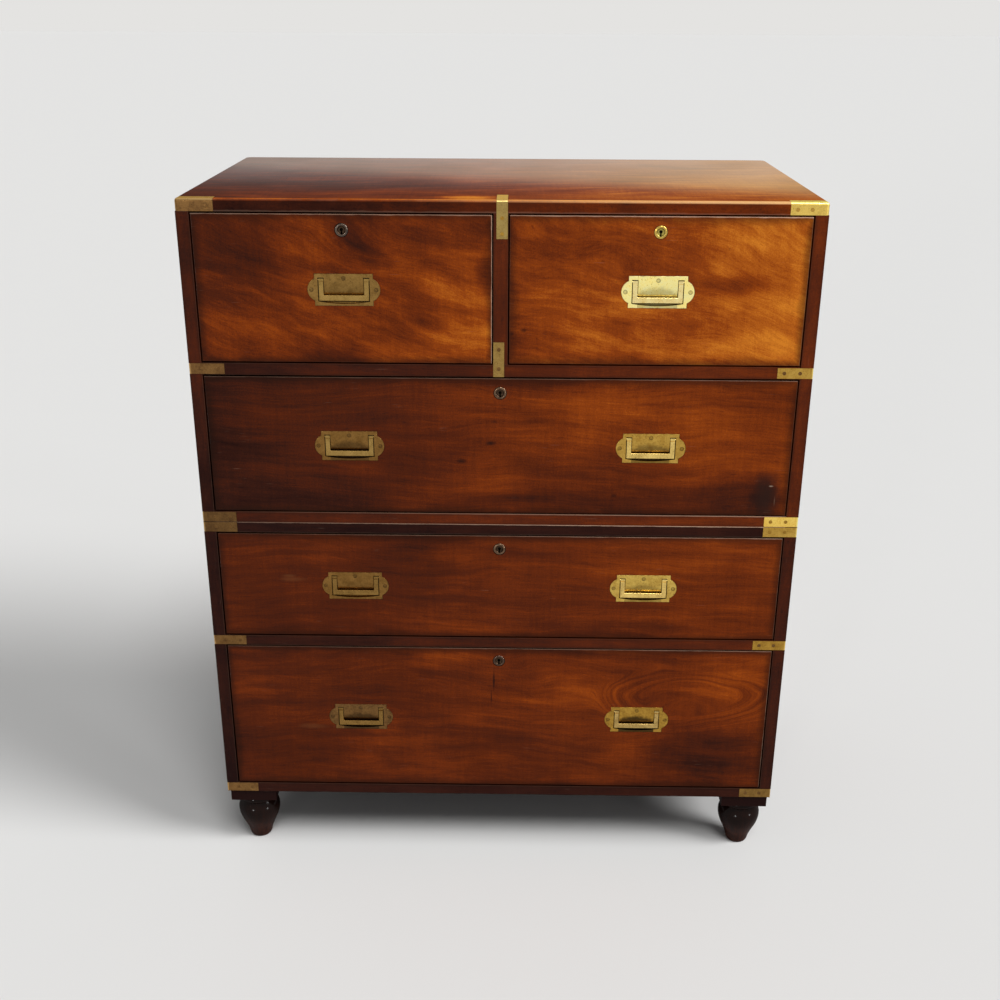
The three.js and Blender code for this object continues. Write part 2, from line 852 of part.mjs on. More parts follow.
function placeDrawer(drawer) {
  place(`${drawer.name}_front`, drawerFront(drawer), mahogany());
  place(`${drawer.name}_box`, drawerTray(drawer), drawerWood());
  place(`${drawer.name}_lock`, lockCase(drawer), lockBrass());
  place(`${drawer.name}_bolt`, lockBolt(drawer), lockBrass());
  const labels = drawer.handleXs.length > 1 ? ['_left', '_right'] : [''];
  drawer.handleXs.forEach((x, index) => {
    const centre = new THREE.Vector3(x, drawerFrontPlane, handleLevel(drawer));
    place(`${drawer.name}_plate${labels[index]}`, handlePlate(), brass(), centre);
    place(`${drawer.name}_bail${labels[index]}`, bail(), brass(), centre);
  });
}

placeUpperHalf();
placeLowerHalf();
placeBrass();
[...shortDrawers, ...longDrawers].forEach(placeDrawer);

export default chest;
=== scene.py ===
import json
import math

import bmesh
import bpy
from bpy.props import FloatProperty, FloatVectorProperty, IntProperty, PointerProperty
from mathutils import Matrix, Vector


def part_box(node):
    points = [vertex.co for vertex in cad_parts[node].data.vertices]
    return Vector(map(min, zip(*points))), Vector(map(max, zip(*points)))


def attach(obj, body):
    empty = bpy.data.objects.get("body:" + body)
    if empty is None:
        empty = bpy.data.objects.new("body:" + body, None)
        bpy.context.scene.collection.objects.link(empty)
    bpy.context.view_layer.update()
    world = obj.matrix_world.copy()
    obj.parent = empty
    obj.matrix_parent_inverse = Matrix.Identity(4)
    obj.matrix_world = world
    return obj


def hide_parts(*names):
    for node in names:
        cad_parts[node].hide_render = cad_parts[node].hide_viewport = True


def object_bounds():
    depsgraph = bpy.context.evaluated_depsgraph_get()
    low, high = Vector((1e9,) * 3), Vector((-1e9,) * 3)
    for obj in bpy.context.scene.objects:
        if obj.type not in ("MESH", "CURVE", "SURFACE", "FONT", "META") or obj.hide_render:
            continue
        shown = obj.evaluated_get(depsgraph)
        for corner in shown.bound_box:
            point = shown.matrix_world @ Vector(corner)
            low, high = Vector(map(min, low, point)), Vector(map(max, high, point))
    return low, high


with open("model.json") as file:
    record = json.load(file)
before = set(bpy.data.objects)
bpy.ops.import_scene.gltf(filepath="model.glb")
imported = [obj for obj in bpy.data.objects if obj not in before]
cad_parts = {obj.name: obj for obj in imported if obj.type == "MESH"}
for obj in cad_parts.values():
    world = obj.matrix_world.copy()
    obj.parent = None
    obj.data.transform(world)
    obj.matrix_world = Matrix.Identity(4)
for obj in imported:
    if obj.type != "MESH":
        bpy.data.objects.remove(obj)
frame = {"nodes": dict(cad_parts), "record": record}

bl_info = {
    "name": "Campaign Chest",
    "version": (1, 0, 0),
    "blender": (4, 5, 0),
    "location": "3D View > Sidebar > Campaign Chest",
    "description": "Dresses the campaign chest: boards, fronts, brass mounts, handles, locks, feet and stage",
    "category": "Object",
}

cad_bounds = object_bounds()

MM = 0.001
SHORT_DRAWERS = ("short_drawer_left", "short_drawer_right")
LONG_DRAWERS = ("long_drawer_upper", "long_drawer_middle", "long_drawer_lower")
DRAWERS = SHORT_DRAWERS + LONG_DRAWERS
SIDES = {"left": -1, "right": 1}
BODY_OF = {node: body for body, nodes in frame["record"]["behaviour"]["bodies"].items() for node in nodes}
CASE_LOW, CASE_HIGH = (Vector(corner) for corner in cad_bounds)
HALF_WIDTH = CASE_HIGH.x
FRONT = CASE_LOW.y
TOUCHING = 0.01 * MM
WELD = 0.002 * MM
MORTISE_DEPTH = 5.2 * MM

# Sizes of a handle plate about the middle of its face, and of a lock about its keyhole

PLATE_HALF_BODY, PLATE_HALF_HEIGHT = 42 * MM, 23.1 * MM
PLATE_LOBE_RADIUS, PLATE_LOBE_CENTRE = 17.5 * MM, 34.7 * MM
PLATE_SCREW_RADIUS = 2.3 * MM
PLATE_SCREW_ACROSS, PLATE_SCREW_HEIGHT = 46.5 * MM, 16.6 * MM
PIVOT_HEIGHT, PIVOT_DEPTH = 14.4 * MM, 1.8 * MM
LOCK_RISE = 22.3 * MM


def spoken(name):
    """A node's name with spaces, for the name of its material"""
    return name.replace("_", " ")


def handle_labels(drawer):
    """Suffixes of a drawer's handle nodes: one handle on a short drawer, two on a long one"""
    return ("",) if drawer in SHORT_DRAWERS else ("_left", "_right")


# Settings


class ChestWoodSettings(bpy.types.PropertyGroup):
    board_arris: FloatProperty(
        name="Board arris", description="Rounding of the case boards' outer edges",
        default=0.8 * MM, min=0.0, unit="LENGTH")
    front_arris: FloatProperty(
        name="Drawer front arris", description="Rounding of the drawer fronts' edges",
        default=1.3 * MM, min=0.0, unit="LENGTH")
    top_arris: FloatProperty(
        name="Top board arris", description="Rounding of the top board's upper edges",
        default=4.5 * MM, min=0.0, unit="LENGTH")
    # also painted along lit arrises as their highlight
    wear_and_highlight_colour: FloatVectorProperty(
        name="Worn edge", description="Colour of the polish where edges are worn",
        default=(0.62, 0.40, 0.28), min=0.0, max=1.0, size=3, subtype="COLOR")
    # laid on specks of dirt, and along the boards' borders, which are darker
    speck_and_border_colour: FloatVectorProperty(
        name="Grime", description="Colour of old polish and dirt beside edges and mounts",
        default=(0.012, 0.005, 0.003), min=0.0, max=1.0, size=3, subtype="COLOR")
    drawer_wood_colour: FloatVectorProperty(
        name="Drawer wood", description="Colour of the unpolished wood of the drawer boxes",
        default=(0.30, 0.15, 0.07), min=0.0, max=1.0, size=3, subtype="COLOR")
    rear_corner: FloatProperty(
        name="Rear corner", description="Radius of the top board's rear corners",
        default=12 * MM, min=0.0, unit="LENGTH")
    plank_width: FloatProperty(
        name="Plank width", description="Width of the boards in the plain panels",
        default=158 * MM, min=MM, unit="LENGTH")


class ChestBrassSettings(bpy.types.PropertyGroup):
    strap_thickness: FloatProperty(
        name="Strap thickness", description="Thickness of the brass straps and corners",
        default=1.5 * MM, min=0.0, unit="LENGTH")
    strap_width: FloatProperty(
        name="Strap width", description="Height of a strap on the front",
        default=16 * MM, min=0.0, unit="LENGTH")
    strap_length: FloatProperty(
        name="Strap length", description="Length of a strap's leg from the corner of the case",
        default=52 * MM, min=0.0, unit="LENGTH")
    corner_length: FloatProperty(
        name="Corner length", description="Length of a top corner's legs",
        default=54 * MM, min=0.0, unit="LENGTH")
    screw_radius: FloatProperty(
        name="Screw radius", description="Radius of the heads of the screws in the straps",
        default=2.6 * MM, min=0.0, unit="LENGTH")
    screw_gap: FloatProperty(
        name="Screw gap", description="Width of the dark ring round a screw's head",
        default=0.25 * MM, min=0.0, unit="LENGTH")
    tarnish_colour: FloatVectorProperty(
        name="Tarnish", description="Colour of the brass where it is most tarnished",
        default=(0.035, 0.020, 0.010), min=0.0, max=1.0, size=3, subtype="COLOR")


class ChestFootSettings(bpy.types.PropertyGroup):
    steps: IntProperty(
        name="Steps", description="Steps of the turned feet round their axis", default=72, min=12)
    colour: FloatVectorProperty(
        name="Polish", description="Colour of the blackened feet",
        default=(0.0045, 0.0022, 0.0018), min=0.0, max=1.0, size=3, subtype="COLOR")


class ChestStageSettings(bpy.types.PropertyGroup):
    background: FloatVectorProperty(
        name="Background", description="Colour that the camera sees round the chest",
        default=(0.7758, 0.7682, 0.7529), min=0.0, max=1.0, size=3, subtype="COLOR")
    floor_colour: FloatVectorProperty(
        name="Floor", description="Colour of the floor under the lamps",
        default=(0.740, 0.737, 0.728), min=0.0, max=1.0, size=3, subtype="COLOR")
    sky_strength: FloatProperty(
        name="Sky strength", description="Strength of the even light from above",
        default=0.28, min=0.0)
    key_strength: FloatProperty(
        name="Key lamp", description="Strength of the soft lamp on the right", default=2.5, min=0.0)
    fill_strength: FloatProperty(
        name="Fill lamp", description="Strength of the soft lamp above the front", default=1.10, min=0.0)
    glint_strength: FloatProperty(
        name="Glint lamps", description="Strength of the two low lamps in front that light polish and brass",
        default=0.42, min=0.0)
    lens: FloatProperty(
        name="Lens", description="Focal length of the camera in millimetres", default=44.54, min=1.0)


SETTINGS = {
    "chest_wood": ChestWoodSettings,
    "chest_brass": ChestBrassSettings,
    "chest_foot": ChestFootSettings,
    "chest_stage": ChestStageSettings,
}


# Shapes


def block(low, high):
    """A box between two corners"""
    low, high = Vector(low), Vector(high)
    shape = bmesh.new()
    bmesh.ops.create_cube(shape, size=1.0)
    bmesh.ops.scale(shape, vec=high - low, verts=shape.verts)
    bmesh.ops.translate(shape, vec=(low + high) / 2, verts=shape.verts)
    return shape


def rod(radius, start, end, steps=32):
    """A cylinder between two points"""
    start, end = Vector(start), Vector(end)
    along = end - start
    turn = along.to_track_quat("Z", "Y").to_matrix().to_4x4()
    shape = bmesh.new()
    bmesh.ops.create_cone(
        shape, cap_ends=True, segments=steps, radius1=radius, radius2=radius, depth=along.length,
        matrix=Matrix.Translation((start + end) / 2) @ turn)
    return shape


def prism(outline, push):
    """A flat outline of a few points, pushed out into a solid"""
    shape = bmesh.new()
    face = shape.faces.new([shape.verts.new(point) for point in outline])
    grown = bmesh.ops.extrude_face_region(shape, geom=[face])
    moved = [item for item in grown["geom"] if isinstance(item, bmesh.types.BMVert)]
    bmesh.ops.translate(shape, vec=push, verts=moved)
    bmesh.ops.recalc_face_normals(shape, faces=shape.faces)
    return shape


def turned(profile, steps):
    """A profile of radius and height, turned round the upright axis"""
    shape = bmesh.new()
    points = [shape.verts.new((radius, 0, height)) for radius, height in profile]
    edges = [shape.edges.new(pair) for pair in zip(points, points[1:])]
    bmesh.ops.spin(
        shape, geom=points + edges, cent=(0, 0, 0), axis=(0, 0, 1), dvec=(0, 0, 0),
        angle=2 * math.pi, steps=steps, use_merge=True)
    bmesh.ops.remove_doubles(shape, verts=shape.verts, dist=0.001 * MM)
    bmesh.ops.recalc_face_normals(shape, faces=shape.faces)
    return shape


def kept_side(shape, point, normal):
    """Cuts a solid with a plane, keeps the side that the normal points to and closes the cut"""
    geometry = list(shape.verts) + list(shape.edges) + list(shape.faces)
    bmesh.ops.bisect_plane(
        shape, geom=geometry, plane_co=point, plane_no=normal, clear_inner=True)
    rim = [edge for edge in shape.edges if edge.is_boundary]
    bmesh.ops.holes_fill(shape, edges=rim)
    bmesh.ops.recalc_face_normals(shape, faces=shape.faces)
    return shape


def combined(operation, first, others):
    """Cuts, joins or intersects solids, one after the other"""
    holders = []
    for shape in [first, *others]:
        mesh = bpy.data.meshes.new("shape")
        shape.to_mesh(mesh)
        shape.free()
        holder = bpy.data.objects.new("shape", mesh)
        bpy.context.scene.collection.objects.link(holder)
        holders.append(holder)
    for other in holders[1:]:
        step = holders[0].modifiers.new("step", "BOOLEAN")
        step.operation = operation
        step.solver = "EXACT"
        step.object = other
    result = bmesh.new()
    result.from_object(holders[0], bpy.context.evaluated_depsgraph_get())
    for holder in holders:
        mesh = holder.data
        bpy.data.objects.remove(holder)
        bpy.data.meshes.remove(mesh)
    bmesh.ops.remove_doubles(result, verts=result.verts, dist=WELD)
    bmesh.ops.dissolve_limit(
        result, angle_limit=math.radians(0.5), verts=result.verts, edges=result.edges)
    return result


def soften(shape, edges, width, segments=2):
    """Rounds the given edges"""
    bmesh.ops.bevel(
        shape, geom=edges, offset=width, offset_type="OFFSET", segments=segments, profile=0.5,
        affect="EDGES", clamp_overlap=True, material=-1)
    return shape


def sharp_edges(shape, angle=30):
    """Edges where two faces meet at more than the given angle in degrees"""
    limit = math.radians(angle)
    return [edge for edge in shape.edges if edge.is_manifold and edge.calc_face_angle() > limit]


def edges_on(edges, **planes):
    """Edges that lie in the given planes, such as x=0.0 and z=high.z"""
    return [edge for edge in edges
            if all(abs(getattr(vert.co, axis) - level) < TOUCHING
                   for axis, level in planes.items() for vert in edge.verts)]


def edge_run(edge, axis):
    """How far an edge runs along an axis"""
    start, end = (getattr(vert.co, axis) for vert in edge.verts)
    return abs(start - end)


def merged_copy(node):
    """A CAD node's mesh as whole faces, for a piece that replaces it"""
    shape = bmesh.new()
    shape.from_mesh(frame["nodes"][node].data)
    bmesh.ops.remove_doubles(shape, verts=shape.verts, dist=WELD)
    bmesh.ops.dissolve_limit(
        shape, angle_limit=math.radians(0.5), verts=shape.verts, edges=shape.edges)
    return shape


def outer_arrises(shape, low, high, front_only=False):
    """Edges that lie on the edges of a board's box"""
    found = []
    for edge in shape.edges:
        if not edge.is_manifold:
            continue
        sides = 0
        on_front = False
        for axis in range(3):
            for limit in (low[axis], high[axis]):
                if all(abs(vert.co[axis] - limit) < TOUCHING for vert in edge.verts):
                    sides += 1
                    on_front = on_front or (axis == 1 and limit == low[axis])
        if sides == 2 and edge.calc_face_angle() > math.radians(60) and (on_front or not front_only):
            found.append(edge)
    return found


def finish_piece(name, shape, body, materials, nodes=(), smooth=35):
    """Makes the finished mesh a piece that rides on a body and stands for its CAD nodes"""
    mesh = bpy.data.meshes.new(name)
    shape.to_mesh(mesh)
    shape.free()
    for material in materials:
        mesh.materials.append(material)
    mesh.shade_smooth()
    mesh.set_sharp_from_angle(angle=math.radians(smooth))
    piece = bpy.data.objects.new(name, mesh)
    bpy.context.scene.collection.objects.link(piece)
    flat = piece.modifiers.new("Flat faces", "WEIGHTED_NORMAL")
    flat.keep_sharp = True
    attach(piece, body)
    if nodes:
        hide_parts(*nodes)


def dress_node(node, material):
    """Gives a CAD node that stays its finish"""
    for holder in frame["nodes"][node].material_slots:
        holder.material = material


# Node trees


def rgb(colour, factors=(1.0, 1.0, 1.0)):
    """A colour as a socket takes it, made darker or lighter by one factor or by one for each channel"""
    if isinstance(factors, float):
        factors = (factors,) * 3
    return (*(part * factor for part, factor in zip(colour, factors)), 1.0)


class Nodes:
    """Places and links the nodes of one tree"""

    def __init__(self, tree):
        self.tree = tree

    def add(self, kind, inputs=None, **settings):
        node = self.tree.nodes.new("ShaderNode" + kind)
        for name, value in settings.items():
            setattr(node, name, value)
        for name, value in (inputs or {}).items():
            self.feed(node.inputs[name], value)
        return node

    def feed(self, socket, value):
        if isinstance(value, bpy.types.NodeSocket):
            self.tree.links.new(value, socket)
        else:
            socket.default_value = value

    def maths(self, operation, first, second=0.0, third=0.0):
        node = self.add("Math", operation=operation)
        for socket, value in zip(node.inputs, (first, second, third)):
            self.feed(socket, value)
        return node.outputs[0]

    def times(self, first, second):
        return self.maths("MULTIPLY", first, second)

    def plus(self, first, second):
        return self.maths("ADD", first, second)

    def minus(self, first, second):
        return self.maths("SUBTRACT", first, second)

    def larger(self, first, second):
        return self.maths("MAXIMUM", first, second)

    def smaller(self, first, second):
        return self.maths("MINIMUM", first, second)

    def unsigned(self, value):
        return self.maths("ABSOLUTE", value)

    def scaled(self, value, factor, base):
        """A value times a factor, added to a base"""
        return self.maths("MULTIPLY_ADD", value, factor, base)

    def swing(self, pattern, amount, base):
        """A base that a pattern between 0 and 1 moves up and down by up to half an amount"""
        return self.scaled(self.minus(pattern, 0.5), amount, base)

    def vector(self, operation, first, second):
        node = self.add("VectorMath", operation=operation)
        self.feed(node.inputs[0], first)
        self.feed(node.inputs[1], second)
        return node.outputs[0]

    def mix(self, factor, first, second):
        node = self.add("Mix", data_type="RGBA")
        self.feed(node.inputs[0], factor)
        self.feed(node.inputs[6], first)
        self.feed(node.inputs[7], second)
        return node.outputs[2]

    def tinted(self, colour, mask, tint, strength=None):
        """A colour with a tint laid over it where the mask is"""
        return self.mix(mask if strength is None else self.times(mask, strength), colour, rgb(tint))

    def parts(self, vector):
        return self.add("SeparateXYZ", {"Vector": vector}).outputs

    def length(self, vector):
        node = self.add("VectorMath", operation="LENGTH")
        self.feed(node.inputs[0], vector)
        return node.outputs["Value"]

    def span(self, value, low, high, start=0.0, end=1.0, smooth=True):
        """What a value between low and high becomes between start and end"""
        node = self.add(
            "MapRange", {"Value": value, "From Min": low, "From Max": high, "To Min": start, "To Max": end},
            interpolation_type="SMOOTHSTEP" if smooth else "LINEAR")
        return node.outputs[0]

    def noise(self, vector, scale, detail, roughness=0.5, distortion=0.0, seed=0.0):
        node = self.add(
            "TexNoise", {"Vector": vector, "Scale": scale, "Detail": detail, "Roughness": roughness,
                         "Distortion": distortion, "W": seed}, noise_dimensions="4D")
        return node.outputs[0]

    def drawn_noise(self, vector, scales, detail, roughness=0.5, distortion=0.0, seed=0.0):
        """Noise with its own scale along each axis"""
        return self.noise(self.vector("MULTIPLY", vector, scales), 1.0, detail, roughness, distortion, seed)

    def object_place(self):
        return self.add("TexCoord").outputs["Object"]

    def place_on(self, centre, turn=(0, 0, 0)):
        """Object coordinates about a piece's centre, turned so that X runs along the grain"""
        node = self.add(
            "Mapping", {"Vector": self.object_place(), "Location": centre, "Rotation": turn},
            vector_type="TEXTURE")
        return node.outputs[0]

    def group(self, tree, inputs):
        node = self.add("Group", node_tree=tree)
        for name, value in inputs.items():
            self.feed(node.inputs[name], value)
        return node.outputs


def start_group(name, inputs, outputs):
    """A shader group with named sockets, and its input and output nodes"""
    tree = bpy.data.node_groups.new(name, "ShaderNodeTree")
    for label, kind in inputs:
        tree.interface.new_socket(name=label, in_out="INPUT", socket_type="NodeSocket" + kind)
    for label, kind in outputs:
        tree.interface.new_socket(name=label, in_out="OUTPUT", socket_type="NodeSocket" + kind)
    source = tree.nodes.new("NodeGroupInput")
    sink = tree.nodes.new("NodeGroupOutput")
    return tree, Nodes(tree), source.outputs, sink.inputs


def build_once(build):
    """Keeps one copy of a group"""
    kept = []

    def get():
        if not kept:
            kept.append(build())
        return kept[0]
    return get


MAHOGANY_TONES = (
    (0.00, (0.0120, 0.0034, 0.0028)),
    (0.20, (0.0345, 0.0085, 0.0045)),
    (0.40, (0.0810, 0.0145, 0.0038)),
    (0.55, (0.1480, 0.0250, 0.0038)),
    (0.70, (0.2560, 0.0475, 0.0045)),
    (0.85, (0.4200, 0.1060, 0.0090)),
    (1.00, (0.6000, 0.1950, 0.0170)),
)


@build_once
def mahogany_figure():
    """Figured mahogany: streaks, flames and rings along X, as one colour from dark to golden"""
    tree, nodes, given, result = start_group(
        "Mahogany figure",
        [("Vector", "Vector"), ("Level", "Float"), ("Contrast", "Float"), ("Slant", "Float"),
         ("Bend", "Float"), ("Wave", "Float"), ("Flame", "Float"), ("Length", "Float"),
         ("Ring centre", "Vector"), ("Ring reach", "Float"), ("Seed", "Float")],
        [("Color", "Color"), ("Figure", "Float"), ("Height", "Float")])
    place = given["Vector"]
    along, across, depth = nodes.parts(place)
    drawn = nodes.maths("DIVIDE", along, given["Length"])
    seed = given["Seed"]

    slow = nodes.drawn_noise(place, scales=(2.2, 5.5, 5.5), detail=1.5, seed=seed)
    quick = nodes.drawn_noise(place, scales=(8.0, 16.0, 16.0), detail=2.0, seed=seed)
    drift = nodes.swing(quick, 0.3, nodes.minus(slow, 0.5))
    leaning = nodes.scaled(along, given["Slant"], across)
    bent = nodes.scaled(nodes.times(along, along), given["Bend"], leaning)
    streamed = nodes.scaled(drift, given["Wave"], bent)

    from_rings = nodes.vector("SUBTRACT", place, given["Ring centre"])
    offset = nodes.vector("MULTIPLY", from_rings, (0.36, 1.0, 1.0))
    wobble = nodes.swing(quick, 0.035, nodes.length(offset))
    full_ring = nodes.times(given["Ring reach"], 0.45)
    near_rings = nodes.span(wobble, given["Ring reach"], full_ring, 0.0, 0.45)
    track = nodes.add("Mix", data_type="FLOAT")
    nodes.feed(track.inputs[0], near_rings)
    nodes.feed(track.inputs[2], streamed)
    nodes.feed(track.inputs[3], nodes.plus(wobble, 0.4))
    line = track.outputs[0]

    def streaks(across_scale, along_scale, detail, shift):
        where = nodes.add("CombineXYZ", {
            "X": nodes.times(drawn, along_scale),
            "Y": nodes.times(line, across_scale),
            "Z": nodes.times(depth, across_scale * 0.5)}).outputs[0]
        return nodes.noise(where, scale=1.0, detail=detail, roughness=0.55, seed=nodes.plus(seed, shift))

    broad = streaks(34.0, 8.0, 1.5, 1.0)
    middle = streaks(105.0, 21.0, 1.5, 2.0)
    fine = streaks(430.0, 60.0, 1.5, 3.0)
    flecks = streaks(620.0, 130.0, 1.0, 4.0)
    flame = streaks(22.0, 11.0, 2.0, 5.0)
    mottle = streaks(44.0, 24.0, 1.5, 6.0)
    ripple = nodes.drawn_noise(place, scales=(190.0, 14.0, 14.0), detail=2.0, distortion=0.2, seed=seed)
    speckle = nodes.noise(place, scale=520.0, detail=2.0, roughness=0.6, seed=seed)

    figure = nodes.times(nodes.minus(broad, 0.5), 0.60)
    figure = nodes.swing(middle, 0.60, figure)
    figure = nodes.swing(fine, 0.38, figure)
    figure = nodes.swing(ripple, 0.22, figure)
    figure = nodes.swing(flame, given["Flame"], figure)
    figure = nodes.swing(mottle, 0.36, figure)
    figure = nodes.swing(speckle, 0.55, figure)
    pore_mask = nodes.span(flecks, 0.62, 0.74)
    level = nodes.scaled(figure, given["Contrast"], given["Level"])
    level = nodes.scaled(pore_mask, -0.09, level)
    ramp = nodes.add("ValToRGB", {"Fac": level})
    stops = ramp.color_ramp.elements
    for index, (position, colour) in enumerate(MAHOGANY_TONES):
        stop = stops[index] if index < 2 else stops.new(position)
        stop.position = position
        stop.color = rgb(colour)
    nodes.feed(result["Color"], ramp.outputs[0])
    nodes.feed(result["Figure"], nodes.plus(figure, 0.5))
    nodes.feed(result["Height"], nodes.scaled(pore_mask, -0.6, fine))
    return tree


@build_once
def board_arrises():
    """How near a point is to its board's edges, from the lowest and highest corners of the board"""
    tree, nodes, given, result = start_group(
        "Board arrises",
        [("Vector", "Vector"), ("Low", "Vector"), ("High", "Vector"), ("Width", "Float"),
         ("Border width", "Float"), ("Seed", "Float")],
        [("Edge", "Float"), ("Top edge", "Float"), ("Right edge", "Float"), ("Border", "Float")])
    place = given["Vector"]
    from_low = nodes.parts(nodes.vector("SUBTRACT", place, given["Low"]))
    from_high = nodes.parts(nodes.vector("SUBTRACT", given["High"], place))
    x, y, z = (nodes.smaller(low, high) for low, high in zip(from_low, from_high))
    middle = nodes.larger(nodes.smaller(x, y), nodes.smaller(nodes.larger(x, y), z))
    patches = nodes.noise(place, scale=45.0, detail=3.0, roughness=0.6, seed=given["Seed"])
    reach = nodes.times(given["Width"], nodes.scaled(patches, 2.2, -0.1))
    nodes.feed(result["Edge"], nodes.span(middle, reach, 0.0))
    near_front = nodes.span(from_low[1], 6 * MM, 3 * MM)
    nodes.feed(result["Top edge"], nodes.times(nodes.span(from_high[2], reach, 0.0), near_front))
    nodes.feed(result["Right edge"], nodes.span(from_high[0], reach, 0.0))
    soft = nodes.noise(place, scale=14.0, detail=3.0, roughness=0.6, seed=given["Seed"])
    border = nodes.times(given["Border width"], nodes.scaled(soft, 2.4, -0.2))
    nodes.feed(result["Border"], nodes.span(middle, border, 0.0))
    return tree


@build_once
def soft_spot():
    """A stain, patch or rubbed place with a ragged edge"""
    tree, nodes, given, result = start_group(
        "Soft spot",
        [("Vector", "Vector"), ("Centre", "Vector"), ("Reach", "Vector"), ("Ragged", "Float"),
         ("Seed", "Float")],
        [("Mask", "Float")])
    offset = nodes.vector("SUBTRACT", given["Vector"], given["Centre"])
    distance = nodes.length(nodes.vector("DIVIDE", offset, given["Reach"]))
    rough = nodes.noise(given["Vector"], scale=60.0, detail=3.0, roughness=0.6, seed=given["Seed"])
    edge = nodes.swing(rough, given["Ragged"], distance)
    nodes.feed(result["Mask"], nodes.span(edge, 1.15, 0.15))
    return tree


@build_once
def handling_wear():
    """Bruises, specks and fine scratches of an old polished surface"""
    tree, nodes, given, result = start_group(
        "Handling wear", [("Vector", "Vector"), ("Seed", "Float")],
        [("Specks", "Float"), ("Scratches", "Float"), ("Cloud", "Float")])
    place = given["Vector"]
    specks = nodes.noise(place, scale=260.0, detail=1.0, seed=given["Seed"])
    thinner = nodes.noise(place, scale=24.0, detail=1.0, seed=given["Seed"])
    lines = nodes.drawn_noise(
        place, scales=(30.0, 900.0, 900.0), detail=1.0, distortion=0.6, seed=given["Seed"])
    cloud = nodes.noise(place, scale=5.5, detail=3.0, roughness=0.55, distortion=0.3, seed=given["Seed"])
    speckled = nodes.times(nodes.span(specks, 0.72, 0.80), nodes.span(thinner, 0.45, 0.60))
    nodes.feed(result["Specks"], speckled)
    scratched = nodes.times(nodes.span(lines, 0.70, 0.78), nodes.span(thinner, 0.50, 0.65))
    nodes.feed(result["Scratches"], scratched)
    nodes.feed(result["Cloud"], cloud)
    return tree


@build_once
def aged_brass():
    """Brass that was polished and has tarnished again, with scratches and dark spots"""
    tree, nodes, given, result = start_group(
        "Aged brass",
        [("Vector", "Vector"), ("Bright", "Color"), ("Dull", "Color"), ("Tarnish", "Color"),
         ("Age", "Float"), ("Seed", "Float")],
        [("Color", "Color"), ("Roughness", "Float"), ("Height", "Float"), ("Metal", "Float")])
    place = given["Vector"]
    seed = given["Seed"]
    patches = nodes.noise(place, scale=70.0, detail=3.0, roughness=0.6, distortion=0.5, seed=seed)
    grain = nodes.noise(place, scale=420.0, detail=3.0, roughness=0.6, seed=seed)
    strokes = nodes.drawn_noise(
        place, scales=(90.0, 900.0, 1400.0), detail=2.0, roughness=0.6, distortion=0.3, seed=seed)
    mixed = nodes.scaled(grain, 0.42, nodes.times(patches, 0.58))
    age = nodes.span(nodes.swing(given["Age"], 0.30, mixed), 0.34, 0.66)
    colour = nodes.mix(age, given["Bright"], given["Dull"])
    spots = nodes.times(nodes.span(grain, 0.58, 0.70), nodes.span(patches, 0.40, 0.55))
    colour = nodes.mix(nodes.times(spots, 0.55), colour, given["Tarnish"])
    rubbed = nodes.span(strokes, 0.52, 0.70)
    colour = nodes.mix(nodes.times(rubbed, 0.25), colour, given["Bright"])
    nodes.feed(result["Color"], colour)
    nodes.feed(result["Roughness"], nodes.scaled(age, 0.16, nodes.scaled(spots, 0.2, 0.26)))
    nodes.feed(result["Height"], nodes.scaled(strokes, 0.5, grain))
    nodes.feed(result["Metal"], nodes.scaled(spots, -0.5, 1.0))
    return tree


